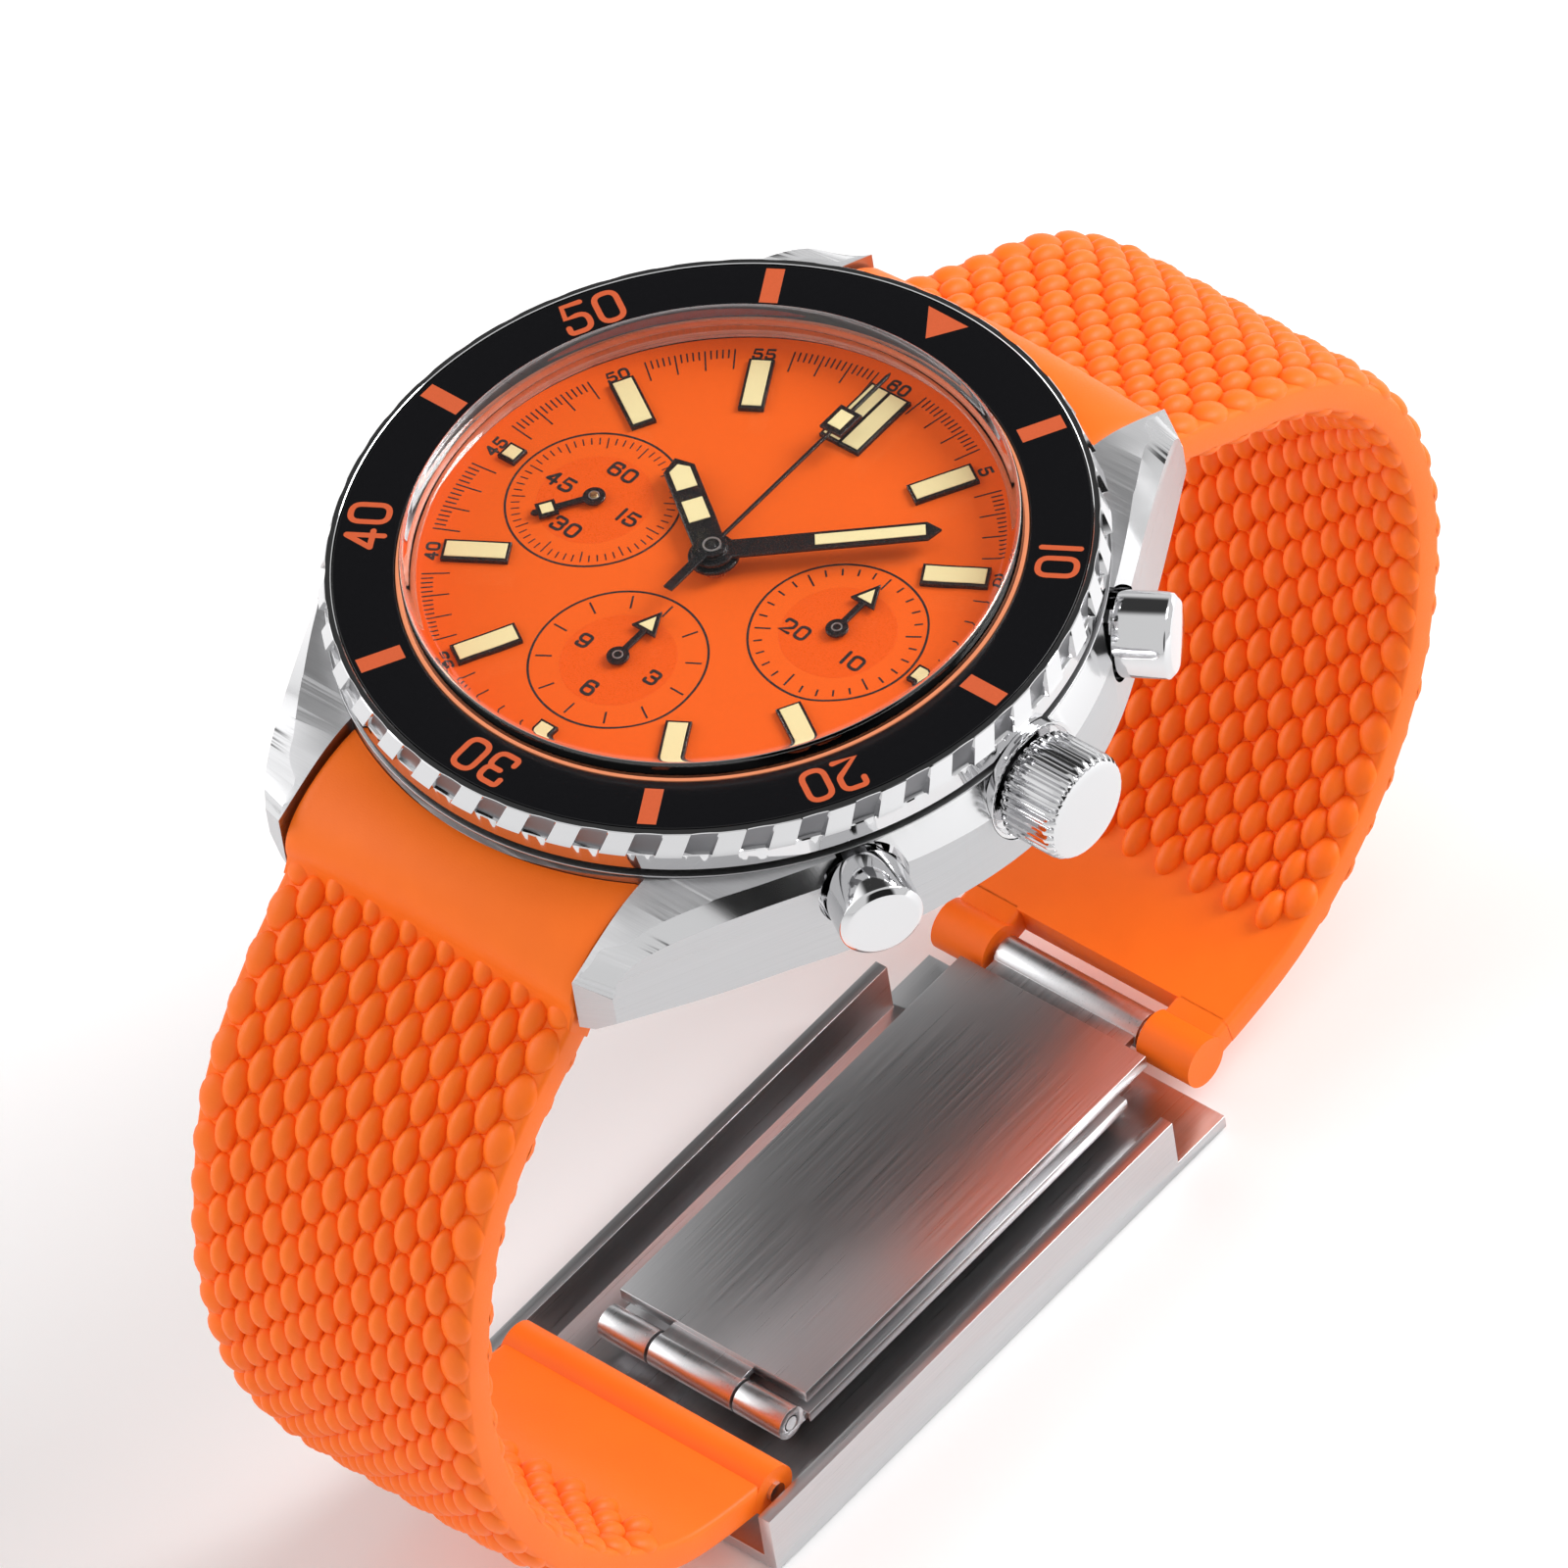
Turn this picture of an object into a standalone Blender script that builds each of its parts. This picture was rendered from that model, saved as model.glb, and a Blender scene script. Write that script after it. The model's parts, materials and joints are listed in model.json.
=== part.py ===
"""Chronograph dive watch with a rubber strap and a folding clasp, as an assembly of separate solids.

Heights are measured from the top of the bezel insert (z = 0 of the watch head) and everything hangs
from one empty, watch_head, that lifts the head so that the clasp's outer face is at world z = 0.
+X points to the crown (3 o'clock), +Y to 12 o'clock and +Z out of the dial. Dimensions below are in
millimetres and become metres in the builders."""

import math

import bmesh
import bpy
from mathutils import Matrix, Vector

MM = 0.001

# Watch head
HEAD_LIFT = 58.6  # top of the bezel insert above the clasp's outer face
FLANK_R = 21.2  # round part of the case's outline
FLANK_TANGENT = math.radians(27.2)  # where the straight lug flank leaves the round part
LUG_GAP = 20.0
LUG_TIP_Y = 24.2
LUG_SHOULDER_Y = 23.3
CASE_WALL_R = 20.5  # case wall between the lugs
CASE_TOP_Z = -3.6
CASE_BOTTOM_Z = -10.0
DECK_R = 20.55
DECK_Z = -2.95  # the ledge that the bezel turns on
NECK_R = 17.55
NECK_TOP_Z = -0.8
CAVITY_R = 14.8
DIAL_SEAT_Z = -3.45
BAR_Y = 22.2  # spring bars
BAR_Z = -8.0
BAR_R = 0.9

# Crystal, dial and bezel
CRYSTAL_R = 16.3
CRYSTAL_WALL = 1.5
CRYSTAL_EDGE_Z = 1.1
CRYSTAL_DOME_Z = 2.0
CRYSTAL_FOOT_Z = -2.9
DIAL_R = 15.9
DIAL_TOP_Z = -3.0
DIAL_BACK_Z = -3.4
BEZEL_R = 20.5
BEZEL_TEETH = 44
NOTCH_FLOOR_R = 20.43
NOTCH_OPEN_R = 21.6  # clear of the ring, so that the cut is open
NOTCH_HALF = 0.7
INSERT_INNER_R = 16.6
INSERT_OUTER_R = 19.85
INSERT_THICK = 0.55

# Movement
PLATE_R = 13.4
PLATE_TOP_Z = -3.8
PLATE_BACK_Z = -5.8
BRIDGE_TOP_Z = -8.6
BRIDGE_BACK_Z = -9.4
SUBDIAL_X = 8.2
HOUR_COUNTER_Y = -7.8
TRAIN_MODULE = 0.165
FAST_MODULE = 0.12
BARREL_MODULE = 0.206
CENTER_TEETH, THIRD_TEETH, FOURTH_TEETH, BARREL_TEETH = 48, 45, 60, 48
LEAVES, CENTER_LEAVES = 6, 8
ESCAPE_TEETH = 24
LEVEL_CENTER, LEVEL_THIRD, LEVEL_FOURTH, LEVEL_BARREL = -6.3, -7.0, -7.7, -7.4
WHEEL_THICK = 0.3

# Crown and pushers
BUTTON_Z = -5.34
CROWN_FACE_X = 24.78
CROWN_FOOT_X = 20.95
CROWN_R = 3.0
CROWN_FLUTES = 32
PUSHER_ANGLE = math.radians(30)
PUSHER_FACE_R = 24.13
PUSHER_FOOT_R = 20.95
PUSHER_CAP_R = 2.3

# Strap and clasp
STRAP_THICK = 3.0
STRAP_WIDTH_LUG = 19.6
STRAP_WIDTH_CLASP = 18.0
STRAP_BARREL_R = 2.6
STRAP_12_ROUTE = ((26.5, -10.3), (31.0, -12.6), (35.2, -14.8), (39.0, -18.2), (41.8, -23.0),
                  (43.1, -29.0), (42.6, -35.5), (40.2, -42.5), (35.6, -48.6), (29.0, -53.0))
STRAP_6_ROUTE = ((-25.6, -10.6), (-29.0, -13.5), (-32.1, -17.3), (-34.1, -22.3), (-35.2, -28.5),
                 (-34.8, -35.5), (-32.4, -42.5), (-28.2, -48.6), (-22.5, -53.0))
STRAP_12_PIN = (21.0, -54.8)
STRAP_6_PIN = (-15.5, -54.8)
LEFT_HINGE = (-11.0, -55.4)
RIGHT_HINGE = (18.5, -56.6)
COVER_OUTER_Z = -58.6
COVER_THICK = 0.8
COVER_HALF_WIDTH = 10.4
COVER_WALL = 0.8


# Scene set-up

def clear_scene():
    for obj in list(bpy.data.objects):
        bpy.data.objects.remove(obj, do_unlink=True)


def new_collection(name):
    made = bpy.data.collections.new(name)
    bpy.context.scene.collection.children.link(made)
    return made


def new_material(name, color, roughness, metallic, alpha=1.0):
    made = bpy.data.materials.new(name)
    made.use_nodes = True
    shader = made.node_tree.nodes["Principled BSDF"]
    shader.inputs["Base Color"].default_value = (*color, 1.0)
    shader.inputs["Roughness"].default_value = roughness
    shader.inputs["Metallic"].default_value = metallic
    shader.inputs["Alpha"].default_value = alpha
    made.diffuse_color = (*color, alpha)
    return made


clear_scene()
WATCH = new_collection("dive_watch")
CUTTERS = new_collection("cutters")
HEAD = bpy.data.objects.new("watch_head", None)
HEAD.location.z = HEAD_LIFT * MM
WATCH.objects.link(HEAD)

STEEL = new_material("brushed_steel", (0.62, 0.62, 0.63), 0.32, 1.0)
POLISHED = new_material("polished_steel", (0.78, 0.78, 0.79), 0.08, 1.0)
BRASS = new_material("brass", (0.72, 0.55, 0.26), 0.3, 1.0)
INSERT_BLACK = new_material("insert_black", (0.01, 0.01, 0.012), 0.15, 0.0)
DIAL_ORANGE = new_material("dial_orange", (0.88, 0.14, 0.02), 0.45, 0.0)
HAND_BLACK = new_material("hand_black", (0.012, 0.012, 0.014), 0.3, 0.0)
SAPPHIRE = new_material("sapphire", (0.95, 0.97, 1.0), 0.02, 0.0, 0.3)
STRAP_ORANGE = new_material("strap_orange", (0.95, 0.17, 0.02), 0.5, 0.0)
SEAL_BLACK = new_material("seal_black", (0.02, 0.02, 0.02), 0.6, 0.0)


# Mesh builders. Each returns an object of the watch that hangs from the watch_head empty.

def add_object(name, mesh, material, origin=(0, 0, 0)):
    """The mesh as an object whose origin is moved to the given point, in millimetres."""
    shift = Vector(origin) * MM
    mesh.transform(Matrix.Translation(-shift))
    made = bpy.data.objects.new(name, mesh)
    made.location = shift
    made.parent = HEAD
    made.data.materials.append(material)
    WATCH.objects.link(made)
    return made


def mesh_from(bm, name):
    bmesh.ops.recalc_face_normals(bm, faces=bm.faces)
    mesh = bpy.data.meshes.new(name)
    bm.to_mesh(mesh)
    bm.free()
    return mesh


def prism_mesh(name, outline, low, high):
    """A flat outline (x, y) between two heights."""
    bm = bmesh.new()
    face = bm.faces.new([bm.verts.new((x * MM, y * MM, low * MM)) for x, y in outline])
    made = bmesh.ops.extrude_face_region(bm, geom=[face])["geom"]
    moved = [item for item in made if isinstance(item, bmesh.types.BMVert)]
    bmesh.ops.translate(bm, verts=moved, vec=(0, 0, (high - low) * MM))
    return mesh_from(bm, name)


def side_prism_mesh(name, outline, low, high):
    """A flat outline (y, z) between two values of x."""
    mesh = prism_mesh(name, outline, low, high)
    mesh.transform(Matrix(((0, 0, 1, 0), (1, 0, 0, 0), (0, 1, 0, 0), (0, 0, 0, 1))))
    return mesh


def add_rod(bm, start, end, radius, sides=16):
    """A solid round rod between two points, in millimetres."""
    start, end = Vector(start) * MM, Vector(end) * MM
    turn = (end - start).to_track_quat("Z", "Y").to_matrix().to_4x4()
    place = Matrix.Translation((start + end) / 2) @ turn
    bmesh.ops.create_cone(bm, cap_ends=True, segments=sides, radius1=radius * MM,
                          radius2=radius * MM, depth=(end - start).length, matrix=place)


def rods_mesh(name, rods):
    bm = bmesh.new()
    for rod in rods:
        add_rod(bm, *rod)
    return mesh_from(bm, name)


def box_mesh(name, low, high):
    low, high = Vector(low) * MM, Vector(high) * MM
    bm = bmesh.new()
    size = Matrix.Diagonal((*(high - low), 1))
    bmesh.ops.create_cube(bm, size=1, matrix=Matrix.Translation((low + high) / 2) @ size)
    return mesh_from(bm, name)


def turned(name, profile, material, steps=40, closed=True):
    """A profile (radius, z) turned about Z. It runs down its outer side and back up its inner side."""
    mesh = bpy.data.meshes.new(name)
    points = [(radius * MM, 0, z * MM) for radius, z in profile]
    edges = [(i, i + 1) for i in range(len(points) - 1)]
    if closed:
        edges.append((len(points) - 1, 0))
    mesh.from_pydata(points, edges, [])
    made = add_object(name, mesh, material)
    screw = made.modifiers.new("turn", "SCREW")
    screw.steps = steps
    screw.render_steps = steps
    screw.use_merge_vertices = True
    screw.merge_threshold = 1e-7
    return made


def ring(name, inner, outer, low, high, material, steps=40):
    return turned(name, [(outer, high), (outer, low), (inner, low), (inner, high)], material, steps)


def as_tool(tool):
    """Moves an object to the cutters, where it isn't part of the watch."""
    WATCH.objects.unlink(tool)
    CUTTERS.objects.link(tool)
    tool.hide_render = True
    tool.display_type = "WIRE"
    return tool


def combine(piece, operation, tool):
    change = piece.modifiers.new(tool.name, "BOOLEAN")
    change.operation = operation
    change.object = as_tool(tool)


def cut(piece, name, mesh):
    combine(piece, "DIFFERENCE", add_object(name, mesh, STEEL))


def join(piece, name, mesh):
    combine(piece, "UNION", add_object(name, mesh, STEEL))


def on_axis(piece, origin, direction):
    """Stands a piece that was built about Z on another axis, through a point in millimetres."""
    piece.location = Vector(origin) * MM
    piece.rotation_euler = Vector(direction).to_track_quat("Z", "Y").to_euler()
    return piece


def arc(radius, start, end, count):
    """Points (x, y) of an arc, angles in radians."""
    step = (end - start) / (count - 1)
    return [(radius * math.cos(start + step * i), radius * math.sin(start + step * i))
            for i in range(count)]


def circle(center, radius, count=24):
    cx, cy = center
    return [(cx + x, cy + y) for x, y in arc(radius, 0, math.tau * (1 - 1 / count), count)]


# Case

def case_outline():
    """The case seen from above: round flanks, straight lug flanks and the wall between the lugs."""
    corner = (FLANK_R * math.cos(FLANK_TANGENT), FLANK_R * math.sin(FLANK_TANGENT))
    run = LUG_SHOULDER_Y - corner[1]
    shoulder = (corner[0] - run * math.tan(FLANK_TANGENT), LUG_SHOULDER_Y)
    half_gap = LUG_GAP / 2
    wall_end = math.acos(half_gap / CASE_WALL_R)
    quarter = arc(FLANK_R, 0, FLANK_TANGENT, 7)
    quarter += [shoulder, (half_gap, LUG_TIP_Y)]
    quarter += arc(CASE_WALL_R, wall_end, math.pi / 2, 8)
    left = [(-x, y) for x, y in reversed(quarter[:-1])]
    top = quarter + left
    return top + [(x, -y) for x, y in reversed(top[1:-1])]


def lug_cutter(name, side, profile):
    """A wedge across both lugs of one side, from a profile (y, z) drawn for 12 o'clock."""
    outline = [(side * y, z) for y, z in profile]
    return side_prism_mesh(name, outline, -30, 30)


def make_mid_case():
    case = add_object("mid_case", prism_mesh("mid_case", case_outline(), CASE_BOTTOM_Z, CASE_TOP_Z), STEEL)
    join(case, "deck", prism_mesh("deck", circle((0, 0), DECK_R, 40), CASE_BOTTOM_Z + 3, DECK_Z))
    join(case, "neck", prism_mesh("neck", circle((0, 0), NECK_R, 40), CASE_BOTTOM_Z + 3, NECK_TOP_Z))
    over = ((14.0, CASE_TOP_Z), (20.0, -4.1), (LUG_TIP_Y + 1, -5.7), (LUG_TIP_Y + 1, 0), (20.6, 0), (20.6, -3.0))
    under = ((13.0, CASE_BOTTOM_Z), (LUG_TIP_Y + 1, -8.7), (LUG_TIP_Y + 1, -12), (13.0, -12))
    for side, label in ((1, "12"), (-1, "6")):
        cut(case, f"lug_top_{label}", lug_cutter(f"lug_top_{label}", side, over))
        cut(case, f"lug_under_{label}", lug_cutter(f"lug_under_{label}", side, under))
        channel = ((-9.99, side * BAR_Y, BAR_Z), (9.99, side * BAR_Y, BAR_Z), STRAP_BARREL_R + 0.3, 20)
        cut(case, f"strap_channel_{label}", rods_mesh(f"strap_channel_{label}", [channel]))
        holes = ((-11.6, side * BAR_Y, BAR_Z), (11.6, side * BAR_Y, BAR_Z), BAR_R + 0.05, 16)
        cut(case, f"bar_holes_{label}", rods_mesh(f"bar_holes_{label}", [holes]))
    bores = (("crystal_bore", 16.8, DIAL_SEAT_Z, NECK_TOP_Z + 1), ("cavity", CAVITY_R, CASE_BOTTOM_Z - 1, -1.0),
             ("back_bore", 16.2, CASE_BOTTOM_Z - 1, -8.9))
    for name, radius, low, high in bores:
        cut(case, name, prism_mesh(name, circle((0, 0), radius, 40), low, high))
    crown = [((CAVITY_R - 1, 0, BUTTON_Z), (FLANK_R, 0, BUTTON_Z), 1.25, 20),
             ((20.5, 0, BUTTON_Z), (FLANK_R + 2, 0, BUTTON_Z), CROWN_R + 0.35, 24)]
    for index, rod in enumerate(crown):
        cut(case, f"crown_hole_{index}", rods_mesh(f"crown_hole_{index}", [rod]))
    for side, label in ((1, "upper"), (-1, "lower")):
        along = pusher_direction(side)
        for index, (near, far, radius, sides) in enumerate(((13.6, 20.5, 1.4, 16), (19.9, 24.0, 2.55, 24))):
            rod = (pusher_point(along, near), pusher_point(along, far), radius, sides)
            cut(case, f"{label}_pusher_hole_{index}", rods_mesh(f"{label}_pusher_hole_{index}", [rod]))


def make_case_back():
    profile = [(0, -11.9), (15.0, -11.9), (15.0, -9.2), (16.0, -9.2), (16.0, -10.2), (18.6, -10.2), (18.6, -11.6),
               (17.2, -12.9), (0, -12.9)]
    turned("case_back", profile, STEEL, 40, closed=False)
    ring("case_back_gasket", 16.3, 16.9, -10.15, -10.03, SEAL_BLACK, 28)


def make_crystal():
    top_inner = CRYSTAL_R - CRYSTAL_WALL
    dome = [(0, CRYSTAL_DOME_Z), (8.0, 1.8), (13.0, 1.45), (15.6, CRYSTAL_EDGE_Z), (CRYSTAL_R, 0.5),
            (CRYSTAL_R, CRYSTAL_FOOT_Z), (top_inner, CRYSTAL_FOOT_Z), (top_inner, -0.3), (13.6, 0.2), (0, 0.7)]
    turned("crystal", dome, SAPPHIRE, 40, closed=False)
    ring("crystal_gasket", CRYSTAL_R + 0.06, 16.74, CRYSTAL_FOOT_Z - 0.4, -0.72, SEAL_BLACK, 40)


def make_dial():
    dial = add_object("dial", prism_mesh("dial", circle((0, 0), DIAL_R, 40), DIAL_BACK_Z, DIAL_TOP_Z), DIAL_ORANGE)
    holes = [((x, y, -4), (x, y, -2), radius, 16) for x, y, radius in
             ((0, 0, 1.15), (-SUBDIAL_X, 0, 0.5), (SUBDIAL_X, 0, 0.5), (0, HOUR_COUNTER_Y, 0.5))]
    cut(dial, "dial_holes", rods_mesh("dial_holes", holes))


def make_bezel():
    rim = [(19.95, 0.02), (20.3, 0.0), (20.75, -1.35), (20.45, -1.4), (20.45, -2.6), (17.7, -2.6), (17.7, -0.62),
           (19.95, -0.62)]
    bezel = turned("bezel_ring", rim, STEEL, 44)
    notches = []
    for index in range(BEZEL_TEETH):
        angle = math.tau * index / BEZEL_TEETH
        corners = [(NOTCH_FLOOR_R, -NOTCH_HALF), (NOTCH_OPEN_R, -NOTCH_HALF * 1.1),
                   (NOTCH_OPEN_R, NOTCH_HALF * 1.1), (NOTCH_FLOOR_R, NOTCH_HALF)]
        turn = [(x * math.cos(angle) - y * math.sin(angle), x * math.sin(angle) + y * math.cos(angle))
                for x, y in corners]
        notches.append(turn)
    bm = bmesh.new()
    for outline in notches:
        bm.from_mesh(prism_mesh("notch", outline, -1.3, 0.5))
    cut(bezel, "bezel_notches", mesh_from(bm, "bezel_notches"))
    ring("bezel_insert", INSERT_INNER_R, INSERT_OUTER_R, -INSERT_THICK, 0.0, INSERT_BLACK, 60)
    spring = arc(19.2, -0.5, 0.5, 9) + arc(17.9, 0.5, -0.5, 9)
    add_object("bezel_click_spring", prism_mesh("bezel_click_spring", spring, -2.88, -2.68), STEEL)


# Gears

def gear_outline(teeth, module, phase, center=(0, 0), tip=0.75, root=1.3, narrow=0.2):
    """Straight-sided teeth with pointed gaps. Phase is the angle of the first tooth's middle."""
    pitch = math.tau / teeth
    radius = teeth * module / 2
    outline = []
    for index in range(teeth):
        middle = phase + pitch * index
        for distance, side in ((-root, -1), (tip, -narrow), (tip, narrow)):
            angle = middle + side * pitch / 2
            reach = radius + distance * module
            outline.append((center[0] + reach * math.cos(angle), center[1] + reach * math.sin(angle)))
    return outline


def meshing_circle(first, first_distance, second, second_distance):
    """The point at the given distances from two points, on the +Y side of the line that joins them."""
    along = second[0] - first[0]
    x = (first_distance ** 2 - second_distance ** 2 + along ** 2) / (2 * along)
    return (first[0] + x, first[1] + math.sqrt(first_distance ** 2 - x ** 2))


def direction(start, end):
    return math.atan2(end[1] - start[1], end[0] - start[0])


CENTER = (0.0, 0.0)
FOURTH = (-SUBDIAL_X, 0.0)
THIRD = meshing_circle(CENTER, TRAIN_MODULE * (CENTER_TEETH + LEAVES) / 2, FOURTH,
                       TRAIN_MODULE * (THIRD_TEETH + LEAVES) / 2)
BARREL_DISTANCE = BARREL_MODULE * (BARREL_TEETH + CENTER_LEAVES) / 2
BARREL = (BARREL_DISTANCE * math.cos(-0.87), BARREL_DISTANCE * math.sin(-0.87))
ESCAPE_DISTANCE = FAST_MODULE * (FOURTH_TEETH + LEAVES) / 2
ESCAPE = (FOURTH[0] + ESCAPE_DISTANCE * math.cos(1.745), FOURTH[1] + ESCAPE_DISTANCE * math.sin(1.745))
FORK = (-7.85, 6.66)
BALANCE = (-5.0, 8.6)
ESCAPE_R = 2.1
BALANCE_R = 2.4


def wheel(name, place, teeth, module, phase, level, arbor, material=BRASS):
    """A toothed wheel with its arbor, which runs between the two heights of arbor = (low, high, radius)."""
    outline = gear_outline(teeth, module, phase, place)
    half = WHEEL_THICK / 2
    piece = add_object(name, prism_mesh(name, outline, level - half, level + half), material, (*place, level))
    low, high, radius = arbor
    join(piece, f"{name}_arbor", rods_mesh(f"{name}_arbor", [((*place, low), (*place, high), radius, 16)]))
    return piece


def add_pinion(piece, place, teeth, module, phase, low, high):
    name = f"{piece.name}_pinion"
    outline = gear_outline(teeth, module, phase, place, tip=0.7, narrow=0.22)
    join(piece, name, prism_mesh(name, outline, low, high))


def make_train():
    half_leaf = math.pi / LEAVES
    center = wheel("center_wheel", CENTER, CENTER_TEETH, TRAIN_MODULE, direction(CENTER, THIRD), LEVEL_CENTER,
                   (-8.25, -1.75, 0.45))
    phase = direction(CENTER, BARREL) + math.pi / CENTER_LEAVES
    add_pinion(center, CENTER, CENTER_LEAVES, BARREL_MODULE, phase, -7.75, -7.2)
    cut(center, "chronograph_bore", rods_mesh("chronograph_bore", [((0, 0, -9), (0, 0, -1), 0.26, 16)]))

    third = wheel("third_wheel", THIRD, THIRD_TEETH, TRAIN_MODULE, direction(THIRD, FOURTH), LEVEL_THIRD,
                  (-8.5, -5.5, 0.2))
    add_pinion(third, THIRD, LEAVES, TRAIN_MODULE, direction(THIRD, CENTER) + half_leaf, -6.9, -6.05)

    fourth = wheel("fourth_wheel", FOURTH, FOURTH_TEETH, FAST_MODULE, direction(FOURTH, ESCAPE), LEVEL_FOURTH,
                   (-8.5, -2.55, 0.2))
    add_pinion(fourth, FOURTH, LEAVES, TRAIN_MODULE, direction(FOURTH, THIRD) + half_leaf, -7.6, -6.75)

    escape = wheel("escape_wheel", ESCAPE, ESCAPE_TEETH, 2 * ESCAPE_R / ESCAPE_TEETH, 0.0, LEVEL_CENTER,
                   (-8.5, -5.5, 0.14), POLISHED)
    add_pinion(escape, ESCAPE, LEAVES, FAST_MODULE, direction(ESCAPE, FOURTH) + half_leaf, -7.95, -6.4)

    barrel_phase = direction(BARREL, CENTER)
    barrel = wheel("mainspring_barrel", BARREL, BARREL_TEETH, BARREL_MODULE, barrel_phase, LEVEL_BARREL,
                   (-8.5, -5.5, 0.5))
    drum = [((*BARREL, -8.1), (*BARREL, -6.8), 4.5, 28)]
    join(barrel, "barrel_drum", rods_mesh("barrel_drum", drum))

    hour = add_object("hour_wheel", prism_mesh("hour_wheel", gear_outline(16, 0.3, 0), -3.75, -3.55), BRASS)
    join(hour, "hour_pipe", rods_mesh("hour_pipe", [((0, 0, -3.75), (0, 0, -2.12), 0.9, 16)]))
    cut(hour, "hour_bore", rods_mesh("hour_bore", [((0, 0, -5), (0, 0, -1), 0.55, 12)]))

    rods = [((0, 0, -8.5), (0, 0, -1.35), 0.18, 12)]
    add_object("chronograph_arbor", rods_mesh("chronograph_arbor", rods), POLISHED)


def make_escapement():
    """Pallet fork with its two arms outside the escape wheel's teeth, and the balance on its staff."""
    to_escape = direction(FORK, ESCAPE)
    to_balance = direction(FORK, BALANCE)

    def from_fork(distance, angle):
        return (FORK[0] + distance * math.cos(angle), FORK[1] + distance * math.sin(angle))

    arms = [from_fork(1.9, to_escape - 1.15), from_fork(1.9, to_escape - 0.95), from_fork(0.35, to_escape),
            from_fork(1.9, to_escape + 0.95), from_fork(1.9, to_escape + 1.15), from_fork(0.5, to_escape + 1.9),
            from_fork(2.6, to_balance - 0.1), from_fork(2.6, to_balance + 0.1), from_fork(0.5, to_escape - 1.9)]
    fork = add_object("pallet_fork", prism_mesh("pallet_fork", arms, -6.45, -6.15), POLISHED, (*FORK, -6.3))
    staff = [((*FORK, -8.5), (*FORK, -5.5), 0.14, 12)]
    join(fork, "pallet_staff", rods_mesh("pallet_staff", staff))

    balance = ring("balance_wheel", BALANCE_R - 0.35, BALANCE_R, -7.75, -7.4, BRASS, 32)
    balance.location = (BALANCE[0] * MM, BALANCE[1] * MM, 0)
    spoke = [(BALANCE[0] - BALANCE_R + 0.2, BALANCE[1] - 0.2), (BALANCE[0] + BALANCE_R - 0.2, BALANCE[1] - 0.2),
             (BALANCE[0] + BALANCE_R - 0.2, BALANCE[1] + 0.2), (BALANCE[0] - BALANCE_R + 0.2, BALANCE[1] + 0.2)]
    join(balance, "balance_arm", prism_mesh("balance_arm", spoke, -7.7, -7.45))
    staff = [((*BALANCE, -8.5), (*BALANCE, -5.5), 0.16, 12)]
    join(balance, "balance_staff", rods_mesh("balance_staff", staff))
    ring("hairspring", 0.5, 1.3, -8.1, -7.95, STEEL, 24).location = (BALANCE[0] * MM, BALANCE[1] * MM, 0)


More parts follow.
